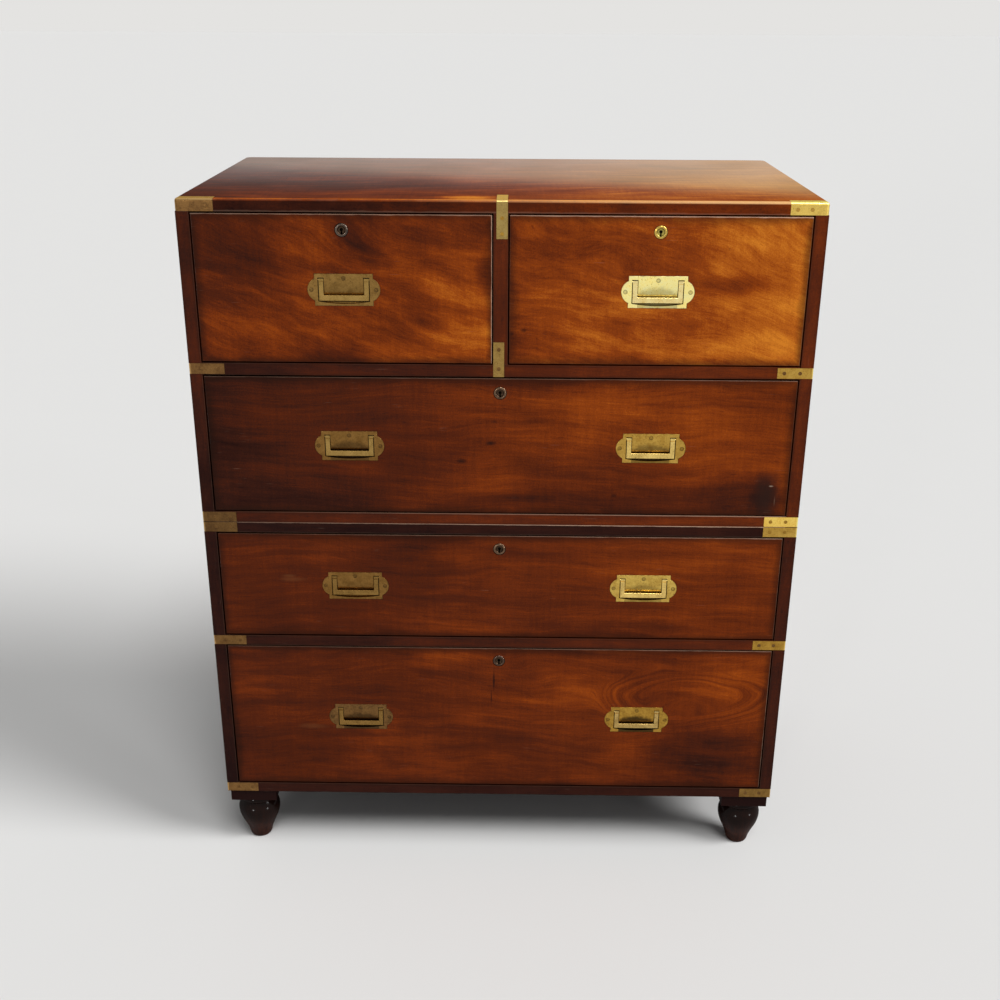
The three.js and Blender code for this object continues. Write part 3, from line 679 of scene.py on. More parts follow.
@build_once
def plate_dirt_and_shade():
    """Marks on a handle plate: dirt on its outline and round its screws, painted shade in its slot and deep
    in its dish, and a dark patch in its dish above the bar that is painted shade, partly dirt
    """
    tree, nodes, given, result = start_group(
        "Plate dirt and shade", [("Vector", "Vector"), ("Centre", "Vector"), ("Seed", "Float")],
        [("Rim", "Float"), ("Screws", "Float"), ("Slot", "Float"), ("Dish shade and dirt", "Float"), ("Deep", "Float")])
    across, depth, height = nodes.parts(nodes.vector("SUBTRACT", given["Vector"], given["Centre"]))
    beside = nodes.unsigned(across)
    above = nodes.unsigned(height)

    def reach(sideways, up):
        return nodes.maths("SQRT", nodes.plus(nodes.times(sideways, sideways), nodes.times(up, up)))
    body = nodes.larger(nodes.minus(beside, PLATE_HALF_BODY), nodes.minus(above, PLATE_HALF_HEIGHT))
    lobe = nodes.minus(reach(nodes.minus(beside, PLATE_LOBE_CENTRE), height), PLATE_LOBE_RADIUS)
    inside = nodes.times(nodes.smaller(body, lobe), -1.0)
    ragged = nodes.noise(given["Vector"], scale=150.0, detail=3.0, roughness=0.6, seed=given["Seed"])
    width = nodes.times(nodes.span(ragged, 0.44, 0.74), 3.0 * MM)
    nodes.feed(result["Rim"], nodes.span(inside, width, 0.0))

    end_screw = reach(nodes.minus(beside, PLATE_SCREW_ACROSS), height)
    top_screw = reach(across, nodes.minus(height, PLATE_SCREW_HEIGHT))
    screw = nodes.smaller(end_screw, top_screw)
    ring = nodes.unsigned(nodes.minus(screw, PLATE_SCREW_RADIUS + 0.2 * MM))
    ring = nodes.times(nodes.span(ring, 1.2 * MM, 0.3 * MM), nodes.span(ragged, 0.30, 0.55, 0.35, 1.0))
    head = nodes.span(screw, PLATE_SCREW_RADIUS, PLATE_SCREW_RADIUS - 0.4 * MM, 0.0, 0.45)
    nodes.feed(result["Screws"], nodes.larger(ring, head))

    # painted shade in the bail's slot and in the deep of the dish
    in_dish = nodes.span(beside, 29.0 * MM, 28.6 * MM)
    beside_dish = nodes.span(beside, 28.6 * MM, 29.0 * MM)
    nodes.feed(result["Slot"], nodes.times(nodes.span(depth, 0.5 * MM, 2.0 * MM), beside_dish))
    nodes.feed(result["Deep"], nodes.times(nodes.span(depth, 2.0 * MM, 3.6 * MM), in_dish))
    # the dark patch above the bar: painted shade of the dish, partly dirt
    hill = nodes.scaled(nodes.times(across, across), -10.0, 8.5 * MM)
    hill = nodes.swing(ragged, 12 * MM, hill)
    dish_shade_and_dirt = nodes.span(nodes.minus(height, hill), 2 * MM, -7 * MM)
    nodes.feed(result["Dish shade and dirt"], nodes.times(dish_shade_and_dirt, in_dish))
    return tree


def new_material(name):
    material = bpy.data.materials.new(name)
    material.use_nodes = True
    shader = material.node_tree.nodes["Principled BSDF"]
    return material, Nodes(material.node_tree), shader.inputs


def bump(nodes, height, strength, distance):
    return nodes.add("Bump", {"Height": height, "Strength": strength, "Distance": distance}).outputs[0]


FRONT_TURN = (math.radians(90), 0, 0)
SIDE_TURN = (0, math.radians(-90), 0)
TOP_TURN = (0, 0, 0)

# What a board's look is where its own table says nothing; its widths are in millimetres

PLAIN_LOOK = dict(
    seed=1.0, contrast=0.5, slant=0.0, bend=0.0, wave=0.06, flame=0.0, length=1.0, rings=(0.0, 0.0, 0.0),
    cloud=0.35, foot=None, head=None, below=None, crown_highlight_level=None, front_shade=None, end_shade=None,
    tones=(), marks=(), painted_reflection=None, border_darkening=0.45, border_darkening_width=8.0, edge=0.0, wear_and_highlight_width=2.0, top_edge_wear_and_highlight=None,
    right_edge_wear_and_highlight=0.0, gloss=0.3, gloss_back=None, coat_rough=0.16)


def board_level(nodes, place, low, high, look, cloud):
    """How light a board is along its length, rising to the right as painted light from the lamps there,
    lighter or darker towards its foot, its head and below a set height, with painted shade on the top board's
    front and ends and a painted highlight, partly wear, on its crown
    """
    x, y, z = nodes.parts(place)
    centre = (low + high) / 2
    # painted light: the level rises from the left end to the right, towards the lamps
    level = nodes.span(x, low.x, high.x, look["left"], look["right"], smooth=False)
    if look["foot"]:
        level = nodes.plus(level, nodes.span(z, centre.z, low.z, 0.0, look["foot"]))
    if look["head"]:
        level = nodes.plus(level, nodes.span(z, centre.z, high.z, 0.0, look["head"]))
    level = nodes.swing(cloud, look["cloud"], level)
    if look["below"]:
        shaded = nodes.span(z, look["below"] + 0.5 * MM, look["below"], 0.0, look["below_level"])
        level = nodes.plus(level, shaded)
    crown = None
    # painted highlight along the top board's rounded crown, partly wear: the wood is lighter there
    if look["crown_highlight_level"]:
        crown = nodes.times(nodes.span(y, low.y + 8 * MM, low.y + 3 * MM),
                            nodes.span(z, high.z - 4 * MM, high.z - 2 * MM))
        level = nodes.scaled(crown, look["crown_highlight_level"], level)
    # painted shade: the top board's front face and ends are darker
    if look["front_shade"]:
        level = nodes.plus(level, nodes.span(y, low.y + 2.5 * MM, low.y + MM, 0.0, look["front_shade"]))
    if look["end_shade"]:
        half = high.x - centre.x
        outwards = nodes.unsigned(nodes.minus(x, centre.x))
        level = nodes.plus(level, nodes.span(outwards, half - 2.5 * MM, half - MM, 0.0, look["end_shade"]))
    return level, crown


def with_painted_reflection(nodes, colour, place, low, high, share):
    """A colour under a painted pale reflection on the top board's upper face, stronger towards the back and
    the right, from brown on the left to golden
    """
    x, y, z = nodes.parts(place)
    slanting = nodes.scaled(x, 0.31, y)
    painted_reflection = nodes.times(nodes.span(slanting, -112 * MM, 60 * MM), nodes.span(x, low.x, high.x, *share))
    painted_reflection = nodes.times(painted_reflection, nodes.span(z, high.z - 4 * MM, high.z - MM))
    tint = nodes.mix(nodes.span(x, low.x * 0.5, high.x, 0.0, 1.0), rgb(REFLECTION_BROWN), rgb(REFLECTION_GOLD))
    return nodes.mix(painted_reflection, colour, tint)


def mahogany(name, low, high, look, turn):
    """Polished mahogany on one board: the figure with its painted light and shade, arrises that are worn and
    carry a painted highlight, darker borders, stains and marks
    """
    look = {**PLAIN_LOOK, **look}
    wood = bpy.context.scene.chest_wood
    material, nodes, shader = new_material(name)
    place = nodes.object_place()
    x, y, _ = nodes.parts(place)
    centre = (low + high) / 2
    middle = (centre.x, centre.y if turn == TOP_TURN else centre.z)
    grain_place = nodes.place_on(centre, turn)
    seed = look["seed"]
    wear = nodes.group(handling_wear(), {"Vector": grain_place, "Seed": seed})

    def spot(at_x, at_z, reach_x, reach_z, ragged, own_seed):
        return nodes.group(soft_spot(), {
            "Vector": grain_place, "Centre": (at_x * MM - middle[0], at_z * MM - middle[1], 0.0),
            "Reach": (reach_x * MM, reach_z * MM, 1.0), "Ragged": ragged, "Seed": own_seed})["Mask"]

    level, crown = board_level(nodes, place, low, high, look, wear["Cloud"])
    for index, (*where, amount) in enumerate(look["tones"]):
        level = nodes.scaled(spot(*where, 0.6, seed + index), amount, level)

    ring_x, ring_z, ring_reach = look["rings"]
    figure = nodes.group(mahogany_figure(), {
        "Vector": grain_place, "Level": level, "Contrast": look["contrast"], "Slant": look["slant"],
        "Bend": look["bend"], "Wave": look["wave"], "Flame": look["flame"], "Length": look["length"],
        "Ring centre": (ring_x * MM - centre.x, ring_z * MM - centre.z, 0.0),
        "Ring reach": max(ring_reach, 0.1) * MM, "Seed": seed})

    arris = nodes.group(board_arrises(), {
        "Vector": place, "Low": low, "High": high, "Width": look["wear_and_highlight_width"] * MM,
        "Border width": look["border_darkening_width"] * MM, "Seed": seed})
    # darker towards the board's borders
    colour = nodes.tinted(figure["Color"], arris["Border"], wood.speck_and_border_colour, look["border_darkening"])
    # arrises lightened for wear and as a painted highlight: along the top edge, stronger to the right, and
    # down the right edge, where the lamps on the right catch them
    worn = nodes.times(arris["Edge"], look["edge"])
    if look["top_edge_wear_and_highlight"]:
        top_edge_wear_and_highlight = nodes.span(x, low.x, high.x, *look["top_edge_wear_and_highlight"], smooth=False)
        worn = nodes.larger(worn, nodes.times(arris["Top edge"], top_edge_wear_and_highlight))
    worn = nodes.larger(worn, nodes.times(arris["Right edge"], look["right_edge_wear_and_highlight"]))
    colour = nodes.tinted(colour, worn, wood.wear_and_highlight_colour)
    # the crown turns golden towards the right: a painted highlight from the lamps on the right, partly wear
    if crown is not None:
        golden = nodes.span(x, centre.x - 200 * MM, high.x, 0.0, look["crown_highlight_gold"])
        colour = nodes.tinted(colour, nodes.times(crown, golden), GOLDEN)

    for index, (*where, strength, tint) in enumerate(look["marks"]):
        colour = nodes.tinted(colour, spot(*where, 0.7, seed + 7 + index), tint, strength)
    colour = nodes.tinted(colour, wear["Specks"], wood.speck_and_border_colour, 0.55)
    colour = nodes.tinted(colour, wear["Scratches"], wood.wear_and_highlight_colour, 0.12)
    # painted reflection on the top board's upper face
    if look["painted_reflection"]:
        colour = with_painted_reflection(nodes, colour, place, low, high, look["painted_reflection"])

    nodes.feed(shader["Base Color"], colour)
    rough = nodes.scaled(wear["Cloud"], 0.25, 0.30)
    nodes.feed(shader["Roughness"], nodes.scaled(figure["Figure"], 0.08, rough))
    shader["Specular IOR Level"].default_value = 0.0
    gloss = nodes.scaled(wear["Cloud"], look["gloss"], look["gloss"] * 0.5)
    if look["gloss_back"]:
        gloss = nodes.times(gloss, nodes.span(y, low.y, high.y, look["gloss_front"], look["gloss_back"]))
    nodes.feed(shader["Coat Weight"], gloss)
    shader["Coat Roughness"].default_value = look["coat_rough"]
    height = nodes.scaled(wear["Scratches"], -0.5, figure["Height"])
    nodes.feed(shader["Normal"], bump(nodes, height, strength=0.25, distance=0.15 * MM))
    return material


def drawer_wood(name, turn, low, high, seed):
    """Plain oiled boards of the drawer boxes and back panels, with grain, joints and dust"""
    wood = bpy.context.scene.chest_wood
    material, nodes, shader = new_material(name)
    centre = (low + high) / 2
    grain_place = nodes.place_on(centre, turn)
    if turn != FRONT_TURN:
        facing_y = nodes.unsigned(nodes.parts(nodes.add("TexCoord").outputs["Normal"])[1])
        crossing = nodes.add("Mix", data_type="VECTOR")
        nodes.feed(crossing.inputs[0], nodes.span(facing_y, 0.6, 0.8))
        nodes.feed(crossing.inputs[4], grain_place)
        nodes.feed(crossing.inputs[5], nodes.place_on(centre, FRONT_TURN))
        grain_place = crossing.outputs[1]
    across = nodes.parts(grain_place)[1]
    arris = nodes.group(board_arrises(), {
        "Vector": nodes.object_place(), "Low": low, "High": high, "Width": 1.6 * MM,
        "Border width": 6 * MM, "Seed": seed})
    boards = nodes.plus(nodes.maths("DIVIDE", across, wood.plank_width), seed)
    number = nodes.maths("FLOOR", boards)
    share = nodes.maths("FRACT", boards)
    to_joint = nodes.times(nodes.smaller(share, nodes.minus(1.0, share)), wood.plank_width)
    joint = nodes.span(to_joint, 0.9 * MM, 0.3 * MM)
    tone = nodes.add("TexWhiteNoise", {"W": number}, noise_dimensions="1D").outputs["Value"]
    own = nodes.scaled(number, 3.7, seed)
    streak = nodes.drawn_noise(
        grain_place, scales=(2.4, 150.0, 150.0), detail=4.0, roughness=0.6, distortion=0.4, seed=own)
    figure = nodes.drawn_noise(
        grain_place, scales=(1.6, 26.0, 26.0), detail=2.0, distortion=0.6, seed=own)
    fibre = nodes.drawn_noise(
        grain_place, scales=(30.0, 1300.0, 1300.0), detail=2.0, roughness=0.6, seed=seed)
    wear = nodes.group(handling_wear(), {"Vector": grain_place, "Seed": seed})
    base = wood.drawer_wood_colour
    colour = nodes.mix(nodes.span(streak, 0.25, 0.75), rgb(base, 0.70), rgb(base, 1.20))
    colour = nodes.mix(nodes.span(figure, 0.50, 0.80, 0.0, 0.55), colour, rgb(base, 0.55))
    colour = nodes.mix(nodes.times(tone, 0.40), colour, rgb(base, (0.62, 0.52, 0.45)))
    colour = nodes.mix(nodes.times(nodes.span(fibre, 0.55, 0.75), 0.35), colour, rgb(base, 0.25))
    colour = nodes.mix(nodes.span(wear["Cloud"], 0.45, 0.75, 0.0, 0.40), colour, rgb(base, 0.40))
    colour = nodes.mix(nodes.times(arris["Border"], 0.45), colour, rgb(base, 0.35))
    colour = nodes.mix(nodes.times(nodes.larger(joint, arris["Edge"]), 0.85), colour, rgb(base, 0.12))
    nodes.feed(shader["Base Color"], colour)
    nodes.feed(shader["Roughness"], nodes.scaled(wear["Cloud"], 0.3, 0.5))
    shader["Specular IOR Level"].default_value = 0.25
    nodes.feed(shader["Normal"], bump(nodes, nodes.minus(fibre, joint), strength=0.3, distance=0.2 * MM))
    return material


def foot_polish():
    """Blackened, thickly polished wood of the turned feet"""
    settings = bpy.context.scene.chest_foot
    material, nodes, shader = new_material("Foot polish")
    place = nodes.object_place()
    wear = nodes.group(handling_wear(), {"Vector": place, "Seed": 4.0})
    streak = nodes.drawn_noise(
        place, scales=(180.0, 180.0, 14.0), detail=3.0, roughness=0.6, distortion=0.2, seed=2.0)
    height = nodes.parts(place)[2]
    rising = nodes.span(height, 60 * MM, 12 * MM, 0.15, 1.0)
    brown = nodes.times(nodes.span(streak, 0.30, 0.75, 0.35, 1.0), rising)
    colour = nodes.mix(brown, rgb(settings.colour), rgb(settings.colour, (9.0, 4.5, 2.5)))
    colour = nodes.tinted(colour, wear["Specks"], (0.10, 0.05, 0.03), 0.5)
    nodes.feed(shader["Base Color"], colour)
    nodes.feed(shader["Roughness"], nodes.scaled(wear["Cloud"], 0.3, 0.2))
    shader["Specular IOR Level"].default_value = 0.0
    nodes.feed(shader["Coat Weight"], nodes.scaled(wear["Cloud"], 0.12, 0.12))
    shader["Coat Roughness"].default_value = 0.13
    nodes.feed(shader["Normal"], bump(nodes, wear["Cloud"], strength=0.15, distance=0.6 * MM))
    return material


def brass(name, bright, dull, age, seed, gloss, plate, dish_shade_and_dirt):
    """Brass of one mount: with a handle plate's dirt and painted shade about its middle, or rubbed bright on
    its arrises, which also carry a painted highlight that is brightest along the top of the case
    """
    settings = bpy.context.scene.chest_brass
    material, nodes, shader = new_material(name)
    look = nodes.group(aged_brass(), {
        "Vector": nodes.object_place(), "Bright": rgb(bright), "Dull": rgb(dull),
        "Tarnish": rgb(settings.tarnish_colour), "Age": age, "Seed": seed})
    colour = look["Color"]
    if plate:
        dirt = nodes.group(plate_dirt_and_shade(), {"Vector": nodes.object_place(), "Centre": plate, "Seed": seed})
        # the slot, the deep of the dish and the dark patch above the bar are painted shade, the patch partly
        # dirt; the rim and screws are dirt
        deep = min(0.92, dish_shade_and_dirt * 2.1)
        strengths = {"Rim": 0.45, "Screws": 0.60, "Dish shade and dirt": dish_shade_and_dirt, "Slot": 0.92, "Deep": deep}
        for mask, strength in strengths.items():
            colour = nodes.tinted(colour, dirt[mask], settings.tarnish_colour, strength)
    else:
        arris = nodes.group(board_arrises(), {
            "Vector": nodes.object_place(), "Low": CASE_LOW, "High": CASE_HIGH, "Width": 2.8 * MM,
            "Border width": MM, "Seed": seed})
        # arrises rubbed bright and lit as a painted highlight, strongest along the top of the case
        polished = [min(1.0, part * 1.6 + lift) for part, lift in zip(bright, (0.30, 0.24, 0.11))]
        height = nodes.parts(nodes.object_place())[2]
        crest_highlight = nodes.span(height, CASE_HIGH.z - 3 * MM, CASE_HIGH.z - MM, 0.0, 0.8)
        colour = nodes.tinted(colour, nodes.larger(arris["Edge"], crest_highlight), polished, 0.8)
    nodes.feed(shader["Base Color"], colour)
    nodes.feed(shader["Metallic"], look["Metal"])
    nodes.feed(shader["Roughness"], nodes.times(look["Roughness"], gloss))
    nodes.feed(shader["Normal"], bump(nodes, look["Height"], strength=0.14, distance=0.06 * MM))
    shader["Specular Tint"].default_value = (0.75, 0.55, 0.24, 1.0)
    return material


# top and right edges are lightened for wear and as a painted highlight, stronger to the right
# Looks of the boards and fronts, on top of PLAIN_LOOK:
# left and right are the level of the wood at its ends, from dark at 0 to golden at 1; the rise from left to
# right is painted light from the lamps on the right
# tones are (x, z, reach along x, reach along z, change of level)
# marks are (x, z, reach along x, reach along z, strength, colour)
# rings are (x, z, reach) of the growth rings
# x and z are millimetres from the frame's origin, and z stands for y on the top board

STAIN = (0.010, 0.005, 0.004)
KNOT = (0.02, 0.006, 0.004)
RUBBED = (0.20, 0.075, 0.025)
GOLDEN = (0.80, 0.52, 0.24)
# tints of the painted reflection on the top board, brown on the left and golden on the right
REFLECTION_BROWN = (0.50, 0.315, 0.185)
REFLECTION_GOLD = (0.60, 0.44, 0.18)

FRONT_LOOKS = {
    "short_drawer_left": dict(
        left=0.43, right=0.64, foot=0.03, head=-0.04, contrast=0.52, slant=0.30, bend=-0.2, wave=0.12,
        flame=0.55, seed=2.0, right_edge_wear_and_highlight=0.75, top_edge_wear_and_highlight=(0.35, 0.50), wear_and_highlight_width=1.7,
        tones=((-273, 1037, 60, 54, 0.11), (-198, 1040, 54, 54, -0.15), (-376, 1005, 110, 60, -0.07),
               (-49, 907, 75, 26, 0.11), (-109, 972, 95, 24, 0.08), (-62, 950, 80, 28, 0.08),
               (-336, 912, 110, 46, 0.07), (-20, 993, 20, 36, -0.22), (-230, 870, 90, 20, -0.12),
               (-60, 1050, 110, 34, -0.10))),
    "short_drawer_right": dict(
        left=0.56, right=0.82, foot=0.02, contrast=0.52, slant=0.26, bend=0.35, wave=0.14, flame=0.6,
        seed=5.0, top_edge_wear_and_highlight=(0.70, 0.95), wear_and_highlight_width=1.8,
        tones=((363, 1046, 110, 28, 0.06), (387, 946, 95, 34, 0.11), (374, 889, 115, 30, 0.11),
               (95, 954, 140, 40, 0.08), (83, 1031, 100, 50, -0.04), (268, 1010, 46, 60, -0.14),
               (339, 979, 46, 20, -0.13), (175, 1010, 70, 52, -0.11), (140, 904, 110, 34, 0.06),
               (210, 1052, 36, 24, -0.08)),
        marks=((16, 906, 5, 4, 0.7, KNOT), (34, 911, 6, 4, 0.7, KNOT))),
    "long_drawer_upper": dict(
        left=0.21, right=0.64, contrast=0.50, slant=0.03, wave=0.07, flame=0.35, length=2.6, seed=8.0,
        tones=((-53, 786, 130, 50, 0.12), (-15, 690, 60, 46, 0.14), (135, 797, 120, 44, 0.17),
               (285, 790, 120, 34, 0.08), (72, 735, 90, 50, 0.10), (-331, 655, 190, 40, -0.10),
               (-98, 645, 110, 30, 0.09), (217, 640, 240, 34, -0.20), (363, 652, 80, 48, -0.26),
               (402, 655, 34, 46, -0.22), (-368, 773, 90, 44, 0.04), (300, 735, 90, 40, 0.05),
               (-95, 668, 70, 26, 0.06)),
        marks=((-14, 738, 9, 5, 0.8, STAIN), (-58, 709, 9, 5, 0.7, STAIN), (-8, 772, 5, 3, 0.5, STAIN),
               (174, 655, 6, 4, 0.6, STAIN), (404, 658, 24, 46, 0.85, (0.024, 0.010, 0.007)),
               (411, 673, 4, 1.5, 0.8, (0.30, 0.22, 0.16)), (418, 648, 1.2, 9, 0.35, (0.20, 0.12, 0.08)))),
    "long_drawer_middle": dict(
        left=0.36, right=0.56, contrast=0.46, slant=0.02, wave=0.07, flame=0.35, length=2.4, seed=11.0,
        top_edge_wear_and_highlight=(0.04, 0.55), right_edge_wear_and_highlight=0.22,
        tones=((-130, 500, 120, 90, -0.09), (-74, 555, 70, 20, 0.12), (263, 536, 90, 28, 0.08),
               (377, 490, 50, 40, 0.04), (205, 430, 240, 20, -0.08), (-172, 437, 190, 20, -0.03)),
        marks=((-324, 509, 26, 5, 0.22, RUBBED), (-330, 515, 14, 3, 0.25, RUBBED))),
    "long_drawer_lower": dict(
        left=0.36, right=0.55, contrast=0.46, slant=0.02, wave=0.09, flame=0.4, length=1.9, seed=14.0,
        top_edge_wear_and_highlight=(0.10, 0.40), right_edge_wear_and_highlight=0.40,
        tones=((-87, 369, 70, 24, 0.10), (-48, 273, 45, 60, 0.06), (-187, 235, 34, 36, 0.08),
               (-228, 180, 46, 22, 0.09), (156, 315, 120, 30, 0.09), (383, 340, 60, 26, 0.10),
               (350, 196, 130, 76, -0.26), (20, 300, 60, 60, 0.04), (200, 190, 60, 30, 0.04)),
        rings=(303, 298, 62),
        marks=((-307, 241, 28, 6, 0.20, RUBBED), (-8, 330, 2, 22, 0.8, STAIN),
               (-12, 300, 1.5, 16, 0.7, STAIN))),
}

# The left boards of the case are darker than the right ones: painted shade on the side away from the key lamp
CASE_LOOKS = {
    "upper_side_left": dict(left=0.25, right=0.25, foot=-0.14, contrast=0.40, seed=21.0),
    "upper_side_right": dict(left=0.42, right=0.42, contrast=0.40, seed=22.0),
    "lower_side_left": dict(left=0.06, right=0.06, foot=-0.06, contrast=0.40, seed=23.0),
    "lower_side_right": dict(left=0.26, right=0.26, foot=-0.10, contrast=0.40, seed=24.0),
    "upper_bottom": dict(left=0.28, right=0.52, contrast=0.40, seed=25.0, top_edge_wear_and_highlight=(0.0, 0.50)),
    "upper_rail": dict(left=0.13, right=0.56, contrast=0.40, seed=26.0),
    "upper_divider": dict(left=0.38, right=0.38, contrast=0.40, seed=27.0),
    "lower_top": dict(
        left=0.03, right=0.13, contrast=0.30, seed=28.0, top_edge_wear_and_highlight=(0.20, 0.95), wear_and_highlight_width=1.6, arris=1.5),
    "lower_rail": dict(left=0.10, right=0.44, contrast=0.40, seed=29.0),
    "lower_bottom": dict(left=0.10, right=0.17, contrast=0.30, seed=30.0, below=0.112, below_level=-0.35),
}
UPRIGHT_BOARDS = (
    "upper_side_left", "upper_side_right", "lower_side_left", "lower_side_right", "upper_divider")

# What all fronts and all case boards share

# the fronts' lighter top and right edges are wear and a painted highlight
FRONT_FINISH = dict(
    gloss=0.07, border_darkening=0.62, border_darkening_width=15.0, top_edge_wear_and_highlight=(0.10, 0.30), right_edge_wear_and_highlight=0.10, edge=0.03,
    wear_and_highlight_width=1.1)
CASE_FINISH = dict(
    gloss=0.10, border_darkening=0.35, border_darkening_width=5.0, edge=0.04, wear_and_highlight_width=0.9, cloud=0.25, wave=0.05, length=1.5)

# The top board: the pale reflection towards the back and the darker front face and ends are painted light and
# shade, and its crown carries a painted highlight that is partly wear
TOP_LOOK = dict(
    left=0.38, right=0.84, contrast=0.50, slant=-0.04, wave=0.10, flame=0.4, length=1.6, seed=33.0, edge=0.10,
    border_darkening=0.05, cloud=0.30, gloss=0.30, gloss_front=0.14, gloss_back=1.65, coat_rough=0.10, painted_reflection=(0.23, 0.42),
    wear_and_highlight_width=3.0, front_shade=-0.27, end_shade=-0.30, crown_highlight_level=0.36, crown_highlight_gold=0.65,
    tones=((-210, -100, 260, 70, -0.10), (-48, -226, 50, 24, 0.42), (170, -205, 230, 50, 0.05),
           (330, -60, 150, 120, 0.08), (-330, -215, 110, 30, 0.05)),
    marks=((88, -96, 5, 2, 0.5, STAIN), (121, -84, 4, 2, 0.4, STAIN)))

# Colours of the brass: where it is bright, and where it is dull. Each piece takes its own tone, darker on the
# left of the chest and brighter on the right: painted light from the lamps on the right, partly tarnish

BRASS_TONES = {
    "bright gold": ((1.00, 0.92, 0.42), (1.00, 0.80, 0.25)),
    "gold": ((1.00, 0.84, 0.38), (0.78, 0.55, 0.18)),
    "strap gold": ((1.00, 0.74, 0.18), (0.80, 0.50, 0.09)),
    "pale": ((0.90, 0.64, 0.15), (0.62, 0.42, 0.09)),
    "straw": ((0.92, 0.66, 0.21), (0.52, 0.35, 0.10)),
    "tan": ((0.60, 0.41, 0.14), (0.34, 0.22, 0.068)),
    "dull gold": ((0.43, 0.30, 0.095), (0.28, 0.185, 0.055)),
    "fawn": ((0.40, 0.25, 0.075), (0.25, 0.150, 0.040)),
    "yellow": ((0.70, 0.48, 0.11), (0.46, 0.28, 0.055)),
    "honey": ((0.58, 0.36, 0.075), (0.38, 0.21, 0.035)),
    "warm": ((0.50, 0.29, 0.050), (0.30, 0.16, 0.026)),
    "olive": ((0.29, 0.165, 0.046), (0.17, 0.092, 0.024)),
    "moss": ((0.265, 0.138, 0.037), (0.15, 0.074, 0.018)),
    "brown": ((0.26, 0.138, 0.046), (0.13, 0.064, 0.022)),
    "bronze": ((0.22, 0.115, 0.038), (0.11, 0.054, 0.019)),
    "sepia": ((0.17, 0.090, 0.030), (0.085, 0.042, 0.016)),
    "grey": ((0.15, 0.115, 0.090), (0.055, 0.040, 0.032)),
    "umber": ((0.19, 0.120, 0.075), (0.09, 0.052, 0.032)),
    "sooty": ((0.12, 0.075, 0.055), (0.05, 0.030, 0.022)),
    "shade": ((0.070, 0.042, 0.026), (0.032, 0.019, 0.012)),
    "green": ((0.46, 0.38, 0.10), (0.26, 0.20, 0.045)),
    "black": ((0.012, 0.008, 0.005), (0.006, 0.004, 0.003)),
}

HANDLES = {
    # handle: (tone of the plate, tone of the bail, how dark the smudge in the dish is); the tones are
    # brighter on the right, painted light, partly tarnish, and the dark patch in the dish is painted shade,
    # partly dirt
    "short_drawer_left": ("olive", "fawn", 0.10),
    "short_drawer_right": ("bright gold", "gold", 0.38),
    "long_drawer_upper_left": ("moss", "fawn", 0.50),
    "long_drawer_upper_right": ("honey", "straw", 0.55),
    "long_drawer_middle_left": ("moss", "olive", 0.10),
    "long_drawer_middle_right": ("yellow", "straw", 0.40),
    "long_drawer_lower_left": ("bronze", "olive", 0.70),
    "long_drawer_lower_right": ("warm", "tan", 0.90),
}


LOCKS = {
    # drawer: (tone of the boss, tone inside it); the boss is brighter on the right, painted light, partly
    # tarnish, and the darker tone inside is painted shade
    "short_drawer_left": ("grey", "shade"),
    "short_drawer_right": ("yellow", "green"),
    "long_drawer_upper": ("umber", "shade"),
    "long_drawer_middle": ("umber", "shade"),
    "long_drawer_lower": ("sooty", "shade"),
}


def brass_tone(tone, seed=1.0, age=0.5, gloss=1.0, plate=None, dish_shade_and_dirt=0.0):
    """The brass of one tone, made once for each seed"""
    name = f"Brass {tone} {seed:g}"
    known = bpy.data.materials.get(name)
    bright, dull = BRASS_TONES[tone]
    return known or brass(name, bright, dull, age, seed, gloss, plate, dish_shade_and_dirt)


# Screws


def screw_head(radius):
    """A countersunk screw's head with its slot, its face at the origin and towards -Y"""
    profile = [(0, 0), (radius * 0.7, 0.03 * MM), (radius, 0.12 * MM), (radius, 0.8 * MM), (0, 0.8 * MM)]
    head = turned(profile, 28)
    laid = Matrix.Rotation(math.radians(-90), 3, "X")
    bmesh.ops.rotate(head, cent=(0, 0, 0), matrix=laid, verts=head.verts)
    half_slot = 0.28 * MM
    slot = block((-radius * 1.2, -MM, -half_slot), (radius * 1.2, 0.45 * MM, half_slot))
    return combined("DIFFERENCE", head, [slot])


def add_shape(target, shape, matrix):
    """Adds a moved copy of one shape to another"""
    mesh = bpy.data.meshes.new("copy")
    shape.to_mesh(mesh)
    mesh.transform(matrix)
    target.from_mesh(mesh)
    bpy.data.meshes.remove(mesh)


def facing(direction, place, turn):
    """Places a screw drawn towards -Y so that it faces a direction, its slot turned by an angle"""
    spin = Matrix.Rotation(turn, 4, "Y")
    towards = {
        "front": Matrix.Identity(4),
        "left": Matrix.Rotation(math.radians(-90), 4, "Z"),
        "right": Matrix.Rotation(math.radians(90), 4, "Z"),
        "up": Matrix.Rotation(math.radians(-90), 4, "X"),
    }[direction]
    return Matrix.Translation(place) @ towards @ spin


OUTWARDS = {"front": (0, -1, 0), "left": (-1, 0, 0), "right": (1, 0, 0), "up": (0, 0, 1)}


def with_screws(shape, screws, radius):
    """Sinks a pocket for each screw and returns the pocketed shape and all the heads as one shape"""
    gap = bpy.context.scene.chest_brass.screw_gap
    head = screw_head(radius)
    heads = bmesh.new()
    pockets = []
    for direction, place, turn in screws:
        place = Vector(place)
        outwards = Vector(OUTWARDS[direction])
        pockets.append(rod(radius + gap, place + outwards * MM, place - outwards * 0.9 * MM, 28))
        add_shape(heads, head, facing(direction, place - outwards * 0.05 * MM, turn))
    head.free()
    return combined("DIFFERENCE", shape, pockets), heads


